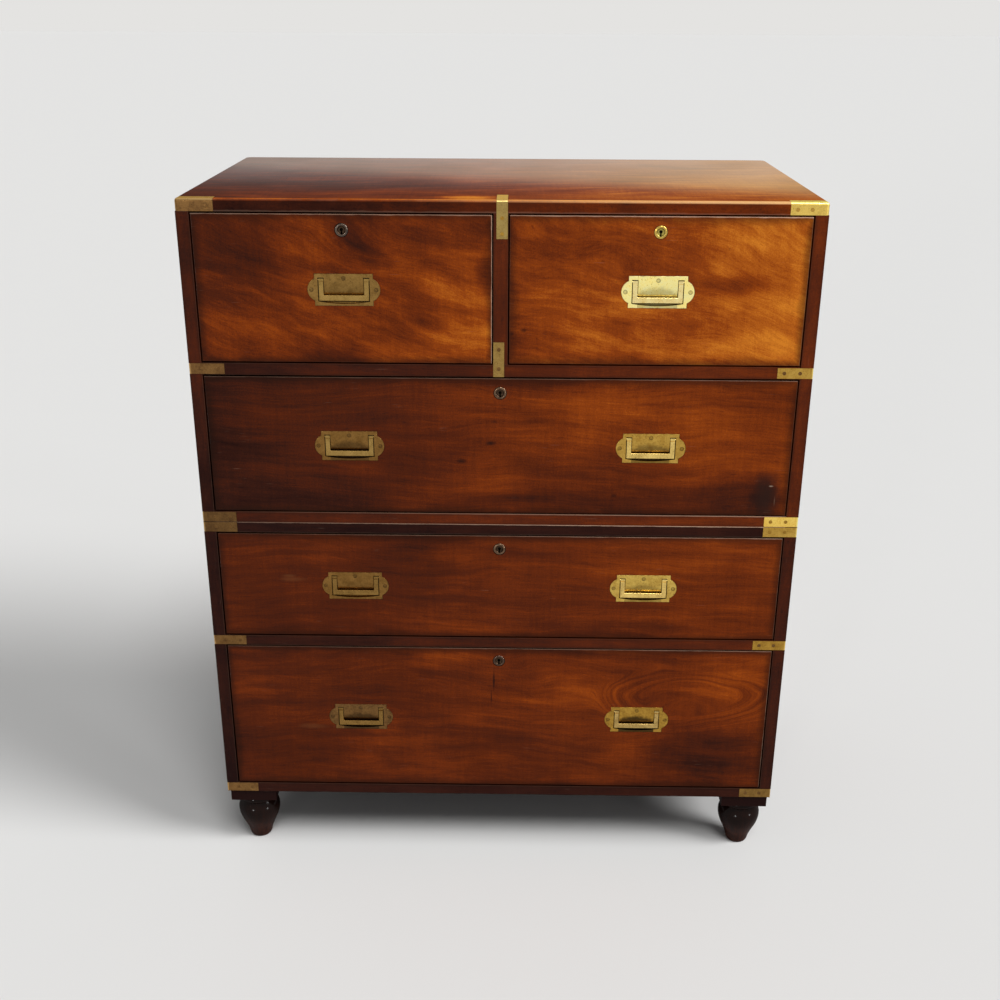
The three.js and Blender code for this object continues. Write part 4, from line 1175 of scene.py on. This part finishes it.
def mount(name, shape, screws, body, material, screw_material, nodes=()):
    """A brass strap or corner and its screws"""
    radius = bpy.context.scene.chest_brass.screw_radius
    shape, heads = with_screws(shape, screws, radius)
    finish_piece(name, shape, body, [material], nodes)
    finish_piece(name + "_screws", heads, body, [screw_material], ())


# Straps


BRASS_ARRIS = 0.22 * MM


def corner_strap(side, bottom, top):
    """An L-shaped strap round a front corner of the case"""
    settings = bpy.context.scene.chest_brass
    skin = settings.strap_thickness
    outer, inner = side * HALF_WIDTH, side * (HALF_WIDTH - skin)
    end, back = side * (HALF_WIDTH - settings.strap_length), FRONT + settings.strap_length
    outline = [(outer, FRONT), (end, FRONT), (end, FRONT + skin),
               (inner, FRONT + skin), (inner, back), (outer, back)]
    shape = prism([(x, y, bottom) for x, y in outline], (0, 0, top - bottom))
    soften(shape, edges_on(shape.edges, x=outer, y=FRONT), 1.1 * MM, 4)
    return soften(shape, sharp_edges(shape, 50), BRASS_ARRIS, 2)


def strap_screws(side, level, turns):
    """Two screws in each leg of a corner strap"""
    label = "right" if side > 0 else "left"
    outer = side * HALF_WIDTH
    near, far = 19 * MM, 42 * MM
    places = [("front", (outer - side * near, FRONT, level)), ("front", (outer - side * far, FRONT, level)),
              (label, (outer, FRONT + near, level)), (label, (outer, FRONT + far, level))]
    return [(direction, place, turn) for (direction, place), turn in zip(places, turns)]


def strap_level(board):
    """The height of the middle of a strap over its board"""
    low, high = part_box(board)
    beside_joint = 8.5 * MM
    if board == "lower_bottom":
        return high.z - beside_joint
    if board == "lower_top":
        return low.z + beside_joint
    return (low.z + high.z) / 2


def rounded_blank(inset):
    """The top board with its corners and upper rim rounded, drawn in by an inset except at the back"""
    wood = bpy.context.scene.chest_wood
    radius = wood.top_arris - inset
    low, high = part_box("upper_top")
    shape = block((low.x + inset, low.y + inset, low.z), (high.x - inset, high.y, high.z - inset))

    def uprights(depth):
        return [edge for edge in edges_on(shape.edges, y=depth) if edge_run(edge, "z") > MM]
    soften(shape, uprights(low.y + inset), radius, 6)
    soften(shape, uprights(high.y), wood.rear_corner, 8)
    return soften(shape, edges_on(shape.edges, z=high.z - inset), radius * 0.95, 6)


def corner_zone(side, grow):
    """The part of the top board that a brass corner covers: a leg along the front and one down the end"""
    settings = bpy.context.scene.chest_brass
    low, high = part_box("upper_top")
    width = settings.strap_width + grow
    reach = settings.corner_length + grow
    outer = side * (HALF_WIDTH + MM)
    crown = high.z - bpy.context.scene.chest_wood.top_arris - MM + grow

    def leg(across, back, top):
        near, far = sorted((outer, side * (HALF_WIDTH - across)))
        return block((near, FRONT - MM, low.z - MM), (far, FRONT + back, top))
    return combined("UNION", leg(reach, width, high.z + MM), [leg(width, reach, crown)])


def centre_zone(grow):
    """The part of the top board that the centre strap covers"""
    low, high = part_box("strap_top_centre")
    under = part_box("upper_top")[0].z
    return block((low.x - grow, low.y - MM, under - MM), (high.x + grow, high.y + grow, high.z + MM))


def bolt_mortise(drawer):
    """The hole in the top board's underside that takes a short drawer's lock bolt"""
    low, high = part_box(drawer + "_bolt")
    clearance = Vector((MM, MM, 0))
    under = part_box("upper_top")[0].z
    return block((low - clearance)[:2] + (under - MM,), (high + clearance)[:2] + (under + MORTISE_DEPTH,))


SCREW_TURNS = (0.35, -0.9, 1.2, 0.1, -0.4, 0.8, 1.5, -1.1)

STRAPS = {
    # name: (CAD node it follows in height, body, tone on the left, tone on the right, nodes it replaces); the
    # left tones are darker: painted light from the right, partly tarnish
    "strap_split_upper": ("upper_bottom", "upper_chest", "sepia", "strap gold", True),
    "strap_split_lower": ("lower_top", "lower_chest", "sepia", "honey", True),
    "strap_upper_rail": ("upper_rail", "upper_chest", "bronze", "honey", False),
    "strap_lower_rail": ("lower_rail", "lower_chest", "bronze", "warm", False),
    "strap_base": ("lower_bottom", "lower_chest", "brown", "olive", False),
}


# Operators


class OBJECT_OT_chest_top(bpy.types.Operator):
    """Build the top board with its rounded arrises and the seats of the brass"""
    bl_idname = "object.chest_top"
    bl_label = "Top Board"

    def execute(self, context):
        low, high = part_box("upper_top")
        grow = 0.3 * MM
        skin = context.scene.chest_brass.strap_thickness + grow
        zones = [corner_zone(side, grow) for side in SIDES.values()] + [centre_zone(grow)]
        seat = combined("UNION", zones[0], zones[1:])
        rebate = combined("DIFFERENCE", seat, [rounded_blank(skin)])
        mortises = [bolt_mortise(drawer) for drawer in SHORT_DRAWERS]
        board = combined("DIFFERENCE", rounded_blank(0), [rebate, *mortises])
        material = mahogany("Mahogany top", low, high, TOP_LOOK, TOP_TURN)
        finish_piece("top_board", board, "upper_chest", [material], ["upper_top"])
        return {"FINISHED"}


class OBJECT_OT_chest_case(bpy.types.Operator):
    """Build the case boards, rails and divider with softened arrises"""
    bl_idname = "object.chest_case"
    bl_label = "Case Boards"

    def execute(self, context):
        width = context.scene.chest_wood.board_arris
        for node, look in CASE_LOOKS.items():
            low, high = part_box(node)
            if node == "lower_top":
                high = Vector((high.x, high.y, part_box("upper_bottom")[0].z))  # below its pegs
            shape = merged_copy(node)
            soften(shape, outer_arrises(shape, low, high), width * look.get("arris", 1.0), 2)
            turn = SIDE_TURN if node in UPRIGHT_BOARDS else FRONT_TURN
            material = mahogany(f"Mahogany {spoken(node)}", low, high, {**CASE_FINISH, **look}, turn)
            finish_piece(node + "_board", shape, BODY_OF[node], [material], [node], 25)
        for node in ("upper_back", "lower_back"):
            low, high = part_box(node)
            material = drawer_wood(f"Panel wood {spoken(node)}", FRONT_TURN, low, high, low.z)
            dress_node(node, material)
        return {"FINISHED"}


class OBJECT_OT_chest_fronts(bpy.types.Operator):
    """Build the drawer fronts, each with its own figure, stains, and worn arrises that carry a painted
    highlight
    """
    bl_idname = "object.chest_fronts"
    bl_label = "Drawer Fronts"

    def execute(self, context):
        width = context.scene.chest_wood.front_arris
        for drawer, look in FRONT_LOOKS.items():
            node = drawer + "_front"
            low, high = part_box(node)
            shape = merged_copy(node)
            soften(shape, outer_arrises(shape, low, high, front_only=True), width, 3)
            look = {**FRONT_FINISH, **look}
            material = mahogany(f"Mahogany {spoken(drawer)}", low, high, look, FRONT_TURN)
            finish_piece(node + "_board", shape, drawer, [material], [node], 25)
        return {"FINISHED"}


class OBJECT_OT_chest_drawer_boxes(bpy.types.Operator):
    """Give the drawer boxes their plain oiled wood"""
    bl_idname = "object.chest_drawer_boxes"
    bl_label = "Drawer Boxes"

    def execute(self, context):
        along_depth = (0, 0, math.radians(90))
        for seed, drawer in enumerate(DRAWERS, 40):
            low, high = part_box(drawer + "_box")
            material = drawer_wood(f"Drawer wood {spoken(drawer)}", along_depth, low, high, float(seed))
            dress_node(drawer + "_box", material)
        return {"FINISHED"}


# Share of a foot's greatest radius at each share of its height, from the floor up

FOOT_PROFILE = (
    (0.36, 0.0), (0.435, 0.004), (0.485, 0.018), (0.52, 0.045), (0.55, 0.095), (0.59, 0.150),
    (0.645, 0.210), (0.71, 0.270), (0.78, 0.330), (0.85, 0.390), (0.912, 0.450), (0.958, 0.510),
    (0.988, 0.565), (1.0, 0.620), (0.995, 0.665), (0.968, 0.710), (0.922, 0.752), (0.865, 0.792),
    (0.81, 0.822), (0.79, 0.834), (0.815, 0.843), (0.86, 0.858), (0.89, 0.878), (0.898, 0.900),
    (0.888, 0.925), (0.86, 0.950), (0.83, 0.972), (0.80, 1.0),
)


class OBJECT_OT_chest_feet(bpy.types.Operator):
    """Turn the four ball feet"""
    bl_idname = "object.chest_feet"
    bl_label = "Turned Feet"

    def execute(self, context):
        steps = context.scene.chest_foot.steps
        material = foot_polish()
        radius, height, spigot_radius = 35 * MM, 90.7 * MM, 12 * MM
        for row in ("front", "back"):
            for side in SIDES:
                node = f"foot_{row}_{side}"
                low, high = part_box(node)
                profile = [(0, 0)] + [(share * radius, level * height) for share, level in FOOT_PROFILE]
                profile += [(spigot_radius, height), (spigot_radius, high.z), (0, high.z)]
                shape = turned(profile, steps)
                centre = (low + high) / 2
                bmesh.ops.translate(shape, vec=(centre.x, centre.y, 0), verts=shape.verts)
                finish_piece(node + "_turned", shape, "lower_chest", [material], [node], 50)
        return {"FINISHED"}


class OBJECT_OT_chest_straps(bpy.types.Operator):
    """Build the brass straps and corners with their screws"""
    bl_idname = "object.chest_straps"
    bl_label = "Brass Straps"

    def execute(self, context):
        settings = context.scene.chest_brass
        half = settings.strap_width / 2
        for row, (name, (board, body, left_tone, right_tone, stands_for)) in enumerate(STRAPS.items()):
            level = strap_level(board)
            for label, side in SIDES.items():
                tone = right_tone if side > 0 else left_tone
                turns = [SCREW_TURNS[(row * 3 + index * 2 + (side > 0)) % 8] for index in range(4)]
                nodes = [f"{name}_{label}"] if stands_for else []
                # screws take a darker tone on the left: painted light from the right, partly tarnish
                mount(f"brass_{name}_{label}", corner_strap(side, level - half, level + half),
                      strap_screws(side, level, turns), body, brass_tone(tone, row + 1.0),
                      brass_tone("bronze" if side < 0 or not stands_for else "warm", 9.0), nodes)
        self.corners()
        self.centre_straps()
        return {"FINISHED"}

    def corners(self):
        settings = bpy.context.scene.chest_brass
        low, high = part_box("upper_top")
        for label, side in SIDES.items():
            shape = combined("INTERSECT", rounded_blank(0), [corner_zone(side, 0)])
            shape = combined("DIFFERENCE", shape, [rounded_blank(settings.strap_thickness)])
            level = (low.z + high.z - 3 * MM) / 2
            outer = side * HALF_WIDTH
            middle = settings.strap_width / 2
            near, far = 24 * MM, 44 * MM
            screws = [
                ("front", (outer - side * near, FRONT, level), 0.4),
                ("front", (outer - side * far, FRONT, level), -0.7),
                (label, (outer, FRONT + near, level), 1.1),
                (label, (outer, FRONT + far, level), 0.2),
                ("up", (outer - side * near, FRONT + middle + MM, high.z), 0.9),
                ("up", (outer - side * far, FRONT + middle + MM, high.z), -0.2),
            ]
            # the right corner is brighter than the left: painted light from the right, partly tarnish
            tone = "pale" if side > 0 else "bronze"
            mount(f"brass_corner_top_{label}", shape, screws, "upper_chest", brass_tone(tone, 6.0),
                  brass_tone("honey" if side > 0 else "bronze", 9.0), [f"corner_top_{label}"])

    def centre_straps(self):
        settings = bpy.context.scene.chest_brass
        skin = settings.strap_thickness
        low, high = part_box("strap_top_centre")
        outline = [(low.y, low.z), (low.y, high.z), (high.y, high.z), (high.y, high.z - skin),
                   (low.y + skin, high.z - skin), (low.y + skin, low.z)]
        shape = prism([(low.x, y, z) for y, z in outline], (high.x - low.x, 0, 0))
        soften(shape, edges_on(shape.edges, y=low.y, z=high.z), 3.5 * MM, 6)
        soften(shape, edges_on(shape.edges, y=low.y + skin, z=high.z - skin), 2.0 * MM, 6)
        soften(shape, sharp_edges(shape, 50), BRASS_ARRIS, 2)
        middle = (low.x + high.x) / 2
        screws = [
            ("front", (middle, FRONT, 1071 * MM), 0.3), ("front", (middle, FRONT, 1049 * MM), -0.8),
            ("up", (middle, FRONT + 20 * MM, high.z), 0.6), ("up", (middle, FRONT + 42 * MM, high.z), -0.3),
        ]
        mount("brass_strap_top_centre", shape, screws, "upper_chest", brass_tone("dull gold", 7.0),
              brass_tone("warm", 9.0), ["strap_top_centre"])
        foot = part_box("upper_rail")[0].z
        top = foot + settings.strap_length
        half, centre = settings.strap_width / 2, -2.3 * MM
        plate = block((centre - half, FRONT, foot), (centre + half, FRONT + skin, top))
        soften(plate, sharp_edges(plate, 50), BRASS_ARRIS, 2)
        screws = [("front", (centre, FRONT, top - 11 * MM), 0.9),
                  ("front", (centre, FRONT, foot + 12 * MM), -0.2)]
        mount("brass_strap_lower_centre", plate, screws, "upper_chest", brass_tone("fawn", 8.0),
              brass_tone("brown", 9.0))


def finger_dish():
    """What is cut out between the arms of the bail: a hollow that deepens downwards"""
    half, top, bottom, depth = 28.95 * MM, 13 * MM, -18 * MM, 9.4 * MM
    pit = block((-half, -0.8 * MM, bottom), (half, depth, top))
    lower = [edge for edge in pit.edges
             if all(vert.co.y > depth / 2 and vert.co.z < 0 for vert in edge.verts)]
    soften(pit, lower, 2.5 * MM, 4)
    roll_radius = 56 * MM
    roll_depth = roll_radius + 0.02 * MM
    roll = rod(roll_radius, (-half - MM, roll_depth, top), (half + MM, roll_depth, top), 240)
    return combined("DIFFERENCE", pit, [roll])


def squared_u(outer, inner, foot, bar_top, head, near, thick):
    """A squared U that stands upright with its face towards -Y"""
    outline = [(-outer, foot), (outer, foot), (outer, head), (inner, head),
               (inner, bar_top), (-inner, bar_top), (-inner, head), (-outer, head)]
    return prism([(x, near, z) for x, z in outline], (0, thick, 0))


def bail_slot():
    """What is cut out for the bail: a squared U with a shallow arc under the bar"""
    outer, foot = 37.2 * MM, -16.9 * MM
    near, floor = -0.8 * MM, 3.9 * MM
    slot = squared_u(outer, 28.2 * MM, foot, -7.3 * MM, 17.5 * MM, near, floor - near)
    sag = 3.4 * MM
    radius = (outer * outer + sag * sag) / (2 * sag)
    centre_height = foot - sag + radius
    lens = rod(radius, (0, near, centre_height), (0, floor, centre_height), 360)
    kept_side(lens, (0, 0, foot + 0.02 * MM), (0, 0, -1))
    return [slot, lens]


def handle_plate():
    """One handle plate about the middle of its face, and its three screws"""
    thickness = 1.8 * MM
    flange = block((-PLATE_HALF_BODY, 0, -PLATE_HALF_HEIGHT), (PLATE_HALF_BODY, thickness, PLATE_HALF_HEIGHT))
    lobes = [rod(PLATE_LOBE_RADIUS, (end, 0, 0), (end, thickness, 0), 96)
             for end in (-PLATE_LOBE_CENTRE, PLATE_LOBE_CENTRE)]
    plate = combined("UNION", flange, lobes)
    soften(plate, edges_on(sharp_edges(plate, 50), y=0.0), 0.7 * MM, 3)
    pan = block((-39.2 * MM, 0.9 * MM, -20.3 * MM), (39.2 * MM, 10.8 * MM, 17.9 * MM))
    plate = combined("UNION", plate, [pan])
    bores = [rod(1.4 * MM, (side * 35 * MM, PIVOT_DEPTH, PIVOT_HEIGHT),
                 (side * 37.8 * MM, PIVOT_DEPTH, PIVOT_HEIGHT), 20) for side in (-1, 1)]
    plate = combined("DIFFERENCE", plate, [*bail_slot(), finger_dish(), *bores])
    screws = [("front", (-PLATE_SCREW_ACROSS, 0, 0), 0.5), ("front", (PLATE_SCREW_ACROSS, 0, 0), -0.4),
              ("front", (0, 0, PLATE_SCREW_HEIGHT), 1.2)]
    return with_screws(plate, screws, PLATE_SCREW_RADIUS)


def plate_middle(drawer, label):
    """The middle of a handle plate's face"""
    low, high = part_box(f"{drawer}_plate{label}")
    return Vector(((low.x + high.x) / 2, low.y, (low.z + high.z) / 2))


def handle_seed(drawer, label):
    """A number for each handle, so that no two have the same tarnish"""
    return 1.0 + DRAWERS.index(drawer) + (0.5 if label == "_right" else 0.0)


class OBJECT_OT_chest_plates(bpy.types.Operator):
    """Build the sunk handle plates with their finger dishes and screws"""
    bl_idname = "object.chest_plates"
    bl_label = "Handle Plates"

    def execute(self, context):
        plate, heads = handle_plate()
        for drawer in DRAWERS:
            for label in handle_labels(drawer):
                node = f"{drawer}_plate{label}"
                centre = plate_middle(drawer, label)
                tone, _, dish_shade_and_dirt = HANDLES[drawer + label]
                material = brass_tone(tone, handle_seed(drawer, label), plate=centre, dish_shade_and_dirt=dish_shade_and_dirt)
                for shape, ending, nodes in ((plate, "", [node]), (heads, "_screws", ())):
                    piece = bmesh.new()
                    add_shape(piece, shape, Matrix.Translation(centre))
                    name = f"brass_{node}{ending}"
                    finish_piece(name, piece, drawer, [material], nodes, smooth=28)
        plate.free()
        heads.free()
        return {"FINISHED"}


def bail_shape():
    """The hinged bail: a flat bar with two arms, rounded knuckles and short pins"""
    outer, foot, near, knuckle = 36 * MM, -16 * MM, -0.45 * MM, 1.6 * MM
    head = PIVOT_HEIGHT + knuckle
    shape = squared_u(outer, 29 * MM, foot, foot + 8.2 * MM, head, near, 3.6 * MM)
    tops = [edge for edge in edges_on(shape.edges, z=head) if edge_run(edge, "y") < TOUCHING]
    soften(shape, tops, knuckle, 6)
    soften(shape, sharp_edges(shape, 60), 0.75 * MM, 3)
    bmesh.ops.triangulate(shape, faces=shape.faces)
    steps = []
    for side in (-1, 1):
        start, end = sorted((side * 28 * MM, side * 37 * MM))
        steps.append(block((start, near - MM, 11.6 * MM), (end, 0.7 * MM, head + MM)))
    shape = combined("DIFFERENCE", shape, steps)
    pins = [rod(1.1 * MM, (side * (outer - MM), PIVOT_DEPTH, PIVOT_HEIGHT),
                (side * (outer + 1.5 * MM), PIVOT_DEPTH, PIVOT_HEIGHT), 20) for side in (-1, 1)]
    return combined("UNION", shape, pins)


class OBJECT_OT_chest_bails(bpy.types.Operator):
    """Build the hinged bails"""
    bl_idname = "object.chest_bails"
    bl_label = "Bails"

    def execute(self, context):
        shape = bail_shape()
        for drawer in DRAWERS:
            for label in handle_labels(drawer):
                node = f"{drawer}_bail{label}"
                centre = plate_middle(drawer, label)
                _, tone, _ = HANDLES[drawer + label]
                seed = 29.0 + handle_seed(drawer, label)
                # the plate's masks give the bail painted shade on its sunk arm ends
                material = brass_tone(tone, seed, age=0.4, gloss=0.85, plate=centre)
                piece = bmesh.new()
                add_shape(piece, shape, Matrix.Translation(centre))
                finish_piece(f"brass_{node}", piece, BODY_OF[node], [material], [node], smooth=40)
        shape.free()
        return {"FINISHED"}


# The boss round a keyhole: its radius, and how far it lies behind the drawer front's face, in millimetres

BOSS_PROFILE = (
    (0, 1.5), (4.3, 1.5), (4.7, 1.3), (4.95, 0.7), (5.3, 0.1), (5.8, -0.35), (6.4, -0.62), (7.1, -0.72),
    (7.8, -0.66), (8.4, -0.46), (8.9, -0.14), (9.3, 0.26), (9.6, 0.68), (9.75, 1.0), (9.8, 1.2),
    (6.5, 1.2), (6.5, 9.2), (0, 9.2),
)


def lock_shape(width, height, depth):
    """A lock case with its boss and keyhole about the keyhole, the drawer front's face at y = 0"""
    case_front = 8.7 * MM
    body = block((-width / 2, case_front, LOCK_RISE - height), (width / 2, case_front + depth, LOCK_RISE))
    soften(body, sharp_edges(body, 50), 0.4 * MM, 2)
    boss = turned([(radius * MM, -level * MM) for radius, level in BOSS_PROFILE], 64)
    laid = Matrix.Rotation(math.radians(90), 3, "X")
    bmesh.ops.rotate(boss, cent=(0, 0, 0), matrix=laid, verts=boss.verts)
    lock = combined("UNION", body, [boss])
    near, far, pin_height = -2 * MM, 7 * MM, 0.6 * MM
    round_hole = rod(2.4 * MM, (0, near, pin_height), (0, far, pin_height), 32)
    slot = block((-1.15 * MM, near, -6.2 * MM), (1.15 * MM, far, pin_height))
    bolt_slot = block((-16.3 * MM, 10.9 * MM, LOCK_RISE - 16.3 * MM), (16.3 * MM, 17.5 * MM, LOCK_RISE + MM))
    return combined("DIFFERENCE", lock, [round_hole, slot, bolt_slot])


class OBJECT_OT_chest_locks(bpy.types.Operator):
    """Build the locks with their round bosses and keyholes, and finish the bolts"""
    bl_idname = "object.chest_locks"
    bl_label = "Locks"

    def execute(self, context):
        lock = lock_shape(width=64 * MM, height=44 * MM, depth=11 * MM)
        for index, drawer in enumerate(DRAWERS):
            low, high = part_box(drawer + "_lock")
            front_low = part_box(drawer + "_front")[0]
            centre = Vector(((low.x + high.x) / 2, front_low.y, high.z - LOCK_RISE))
            piece = bmesh.new()
            add_shape(piece, lock, Matrix.Translation(centre))
            # the inner slope and floor of the boss take the dark inside tone, and the keyhole's walls black:
            # painted shade
            for face in piece.faces:
                middle = face.calc_center_median() - centre
                reach = math.hypot(middle.x, middle.z)
                if reach < 6.2 * MM and middle.y < 1.6 * MM:
                    face.material_index = 1
                elif reach < 6.4 * MM and 1.6 * MM < middle.y < 8 * MM:
                    face.material_index = 2
            ring, recess = LOCKS[drawer]
            materials = [brass_tone(ring, 15.0 + index, gloss=0.6), brass_tone(recess, 21.0),
                         brass_tone("black", 16.0)]
            name = f"brass_{drawer}_lock"
            finish_piece(name, piece, drawer, materials, [drawer + "_lock"], smooth=30)
            dress_node(drawer + "_bolt", brass_tone("brown", 20.0))
        lock.free()
        return {"FINISHED"}


class OBJECT_OT_chest_stage(bpy.types.Operator):
    """Set up the floor, the even light, the two lamps and the camera"""
    bl_idname = "object.chest_stage"
    bl_label = "Stage"

    def execute(self, context):
        settings = context.scene.chest_stage
        self.floor(settings)
        self.sky(context, settings)
        self.lamp("Key lamp", (0.735, -0.250, 0.630), settings.key_strength, angle=26)
        self.lamp("Fill lamp", (0.160, -0.500, 0.851), settings.fill_strength, angle=22)
        self.lamp("Glint lamp left", (-0.409, -0.908, 0.090), settings.glint_strength, angle=7)
        self.lamp("Glint lamp right", (0.806, -0.585, 0.090), settings.glint_strength, angle=7)
        self.camera(context, settings)
        context.scene.view_settings.view_transform = "Standard"
        return {"FINISHED"}

    def floor(self, settings):
        shape = bmesh.new()
        bmesh.ops.create_grid(shape, x_segments=8, y_segments=8, size=60)
        mesh = bpy.data.meshes.new("floor")
        shape.to_mesh(mesh)
        shape.free()
        floor = bpy.data.objects.new("floor", mesh)
        bpy.context.scene.collection.objects.link(floor)
        material, nodes, shader = new_material("Plain floor")
        mottle = nodes.noise(nodes.object_place(), scale=6.0, detail=3.0)
        colour = nodes.mix(mottle, rgb(settings.floor_colour, 0.995), rgb(settings.floor_colour, 1.005))
        nodes.feed(shader["Base Color"], colour)
        shader["Roughness"].default_value = 1.0
        shader["Specular IOR Level"].default_value = 0.0
        mesh.materials.append(material)

    def sky(self, context, settings):
        world = bpy.data.worlds.new("Pale surround")
        world.use_nodes = True
        context.scene.world = world
        nodes = Nodes(world.node_tree)
        lit = world.node_tree.nodes["Background"]
        lit.inputs["Color"].default_value = (1.0, 1.0, 1.0, 1.0)
        height = nodes.parts(nodes.add("TexCoord").outputs["Generated"])[2]
        lift = nodes.span(height, 0.1, 0.85, 0.2, 1.0)
        nodes.feed(lit.inputs["Strength"], nodes.times(lift, settings.sky_strength))
        seen = nodes.add("Background", {"Color": rgb(settings.background), "Strength": 1.0})
        rays = nodes.add("LightPath").outputs
        glossy_or_through = nodes.larger(rays["Is Glossy Ray"], rays["Is Transmission Ray"])
        direct = nodes.larger(rays["Is Camera Ray"], glossy_or_through)
        mixed = nodes.add("MixShader", {"Fac": direct})
        nodes.feed(mixed.inputs[1], lit.outputs[0])
        nodes.feed(mixed.inputs[2], seen.outputs[0])
        nodes.feed(world.node_tree.nodes["World Output"].inputs["Surface"], mixed.outputs[0])

    def lamp(self, name, towards, strength, angle):
        light = bpy.data.lights.new(name, "SUN")
        light.energy = strength
        light.angle = math.radians(angle)
        lamp = bpy.data.objects.new(name, light)
        lamp.rotation_euler = Vector(towards).to_track_quat("Z", "Y").to_euler()
        bpy.context.scene.collection.objects.link(lamp)

    def camera(self, context, settings):
        place = (0.02289, -1.99857, 1.35103)
        yaw, pitch, roll = math.radians(-0.7297), math.radians(21.9116), math.radians(0.2811)
        forward = Vector((math.sin(yaw) * math.cos(pitch), math.cos(yaw) * math.cos(pitch), -math.sin(pitch)))
        level = Vector((math.cos(yaw), -math.sin(yaw), 0))
        upright = level.cross(forward)
        right = math.cos(roll) * level + math.sin(roll) * upright
        up = -math.sin(roll) * level + math.cos(roll) * upright
        lens = bpy.data.cameras.new("Camera")
        lens.sensor_width = 36
        lens.lens = settings.lens
        lens.clip_end = 500
        camera = bpy.data.objects.new("Camera", lens)
        turn = Matrix((right, up, -forward)).transposed().to_4x4()
        camera.matrix_world = Matrix.Translation(place) @ turn
        context.scene.collection.objects.link(camera)
        context.scene.camera = camera


OPERATORS = (
    OBJECT_OT_chest_stage,
    OBJECT_OT_chest_top,
    OBJECT_OT_chest_case,
    OBJECT_OT_chest_fronts,
    OBJECT_OT_chest_drawer_boxes,
    OBJECT_OT_chest_feet,
    OBJECT_OT_chest_straps,
    OBJECT_OT_chest_plates,
    OBJECT_OT_chest_bails,
    OBJECT_OT_chest_locks,
)


class VIEW3D_PT_chest(bpy.types.Panel):
    """Lists the chest's pieces and settings"""
    bl_idname = "VIEW3D_PT_chest"
    bl_label = "Campaign Chest"
    bl_space_type = "VIEW_3D"
    bl_region_type = "UI"
    bl_category = "Campaign Chest"

    def draw(self, context):
        layout = self.layout
        for name, group in SETTINGS.items():
            box = layout.box()
            for setting in group.__annotations__:
                box.prop(getattr(context.scene, name), setting)
        for operator in OPERATORS:
            layout.operator(operator.bl_idname)


def register():
    for group in SETTINGS.values():
        bpy.utils.register_class(group)
    for name, group in SETTINGS.items():
        setattr(bpy.types.Scene, name, PointerProperty(type=group))
    for entry in (*OPERATORS, VIEW3D_PT_chest):
        bpy.utils.register_class(entry)


def unregister():
    for entry in reversed((*OPERATORS, VIEW3D_PT_chest)):
        bpy.utils.unregister_class(entry)
    for name in SETTINGS:
        delattr(bpy.types.Scene, name)
    for group in reversed(list(SETTINGS.values())):
        bpy.utils.unregister_class(group)


def main():
    register()
    bpy.ops.object.chest_stage()
    bpy.ops.object.chest_top()
    bpy.ops.object.chest_case()
    bpy.ops.object.chest_fronts()
    bpy.ops.object.chest_drawer_boxes()
    bpy.ops.object.chest_feet()
    bpy.ops.object.chest_straps()
    bpy.ops.object.chest_plates()
    bpy.ops.object.chest_bails()
    bpy.ops.object.chest_locks()


if __name__ == "__main__":
    main()
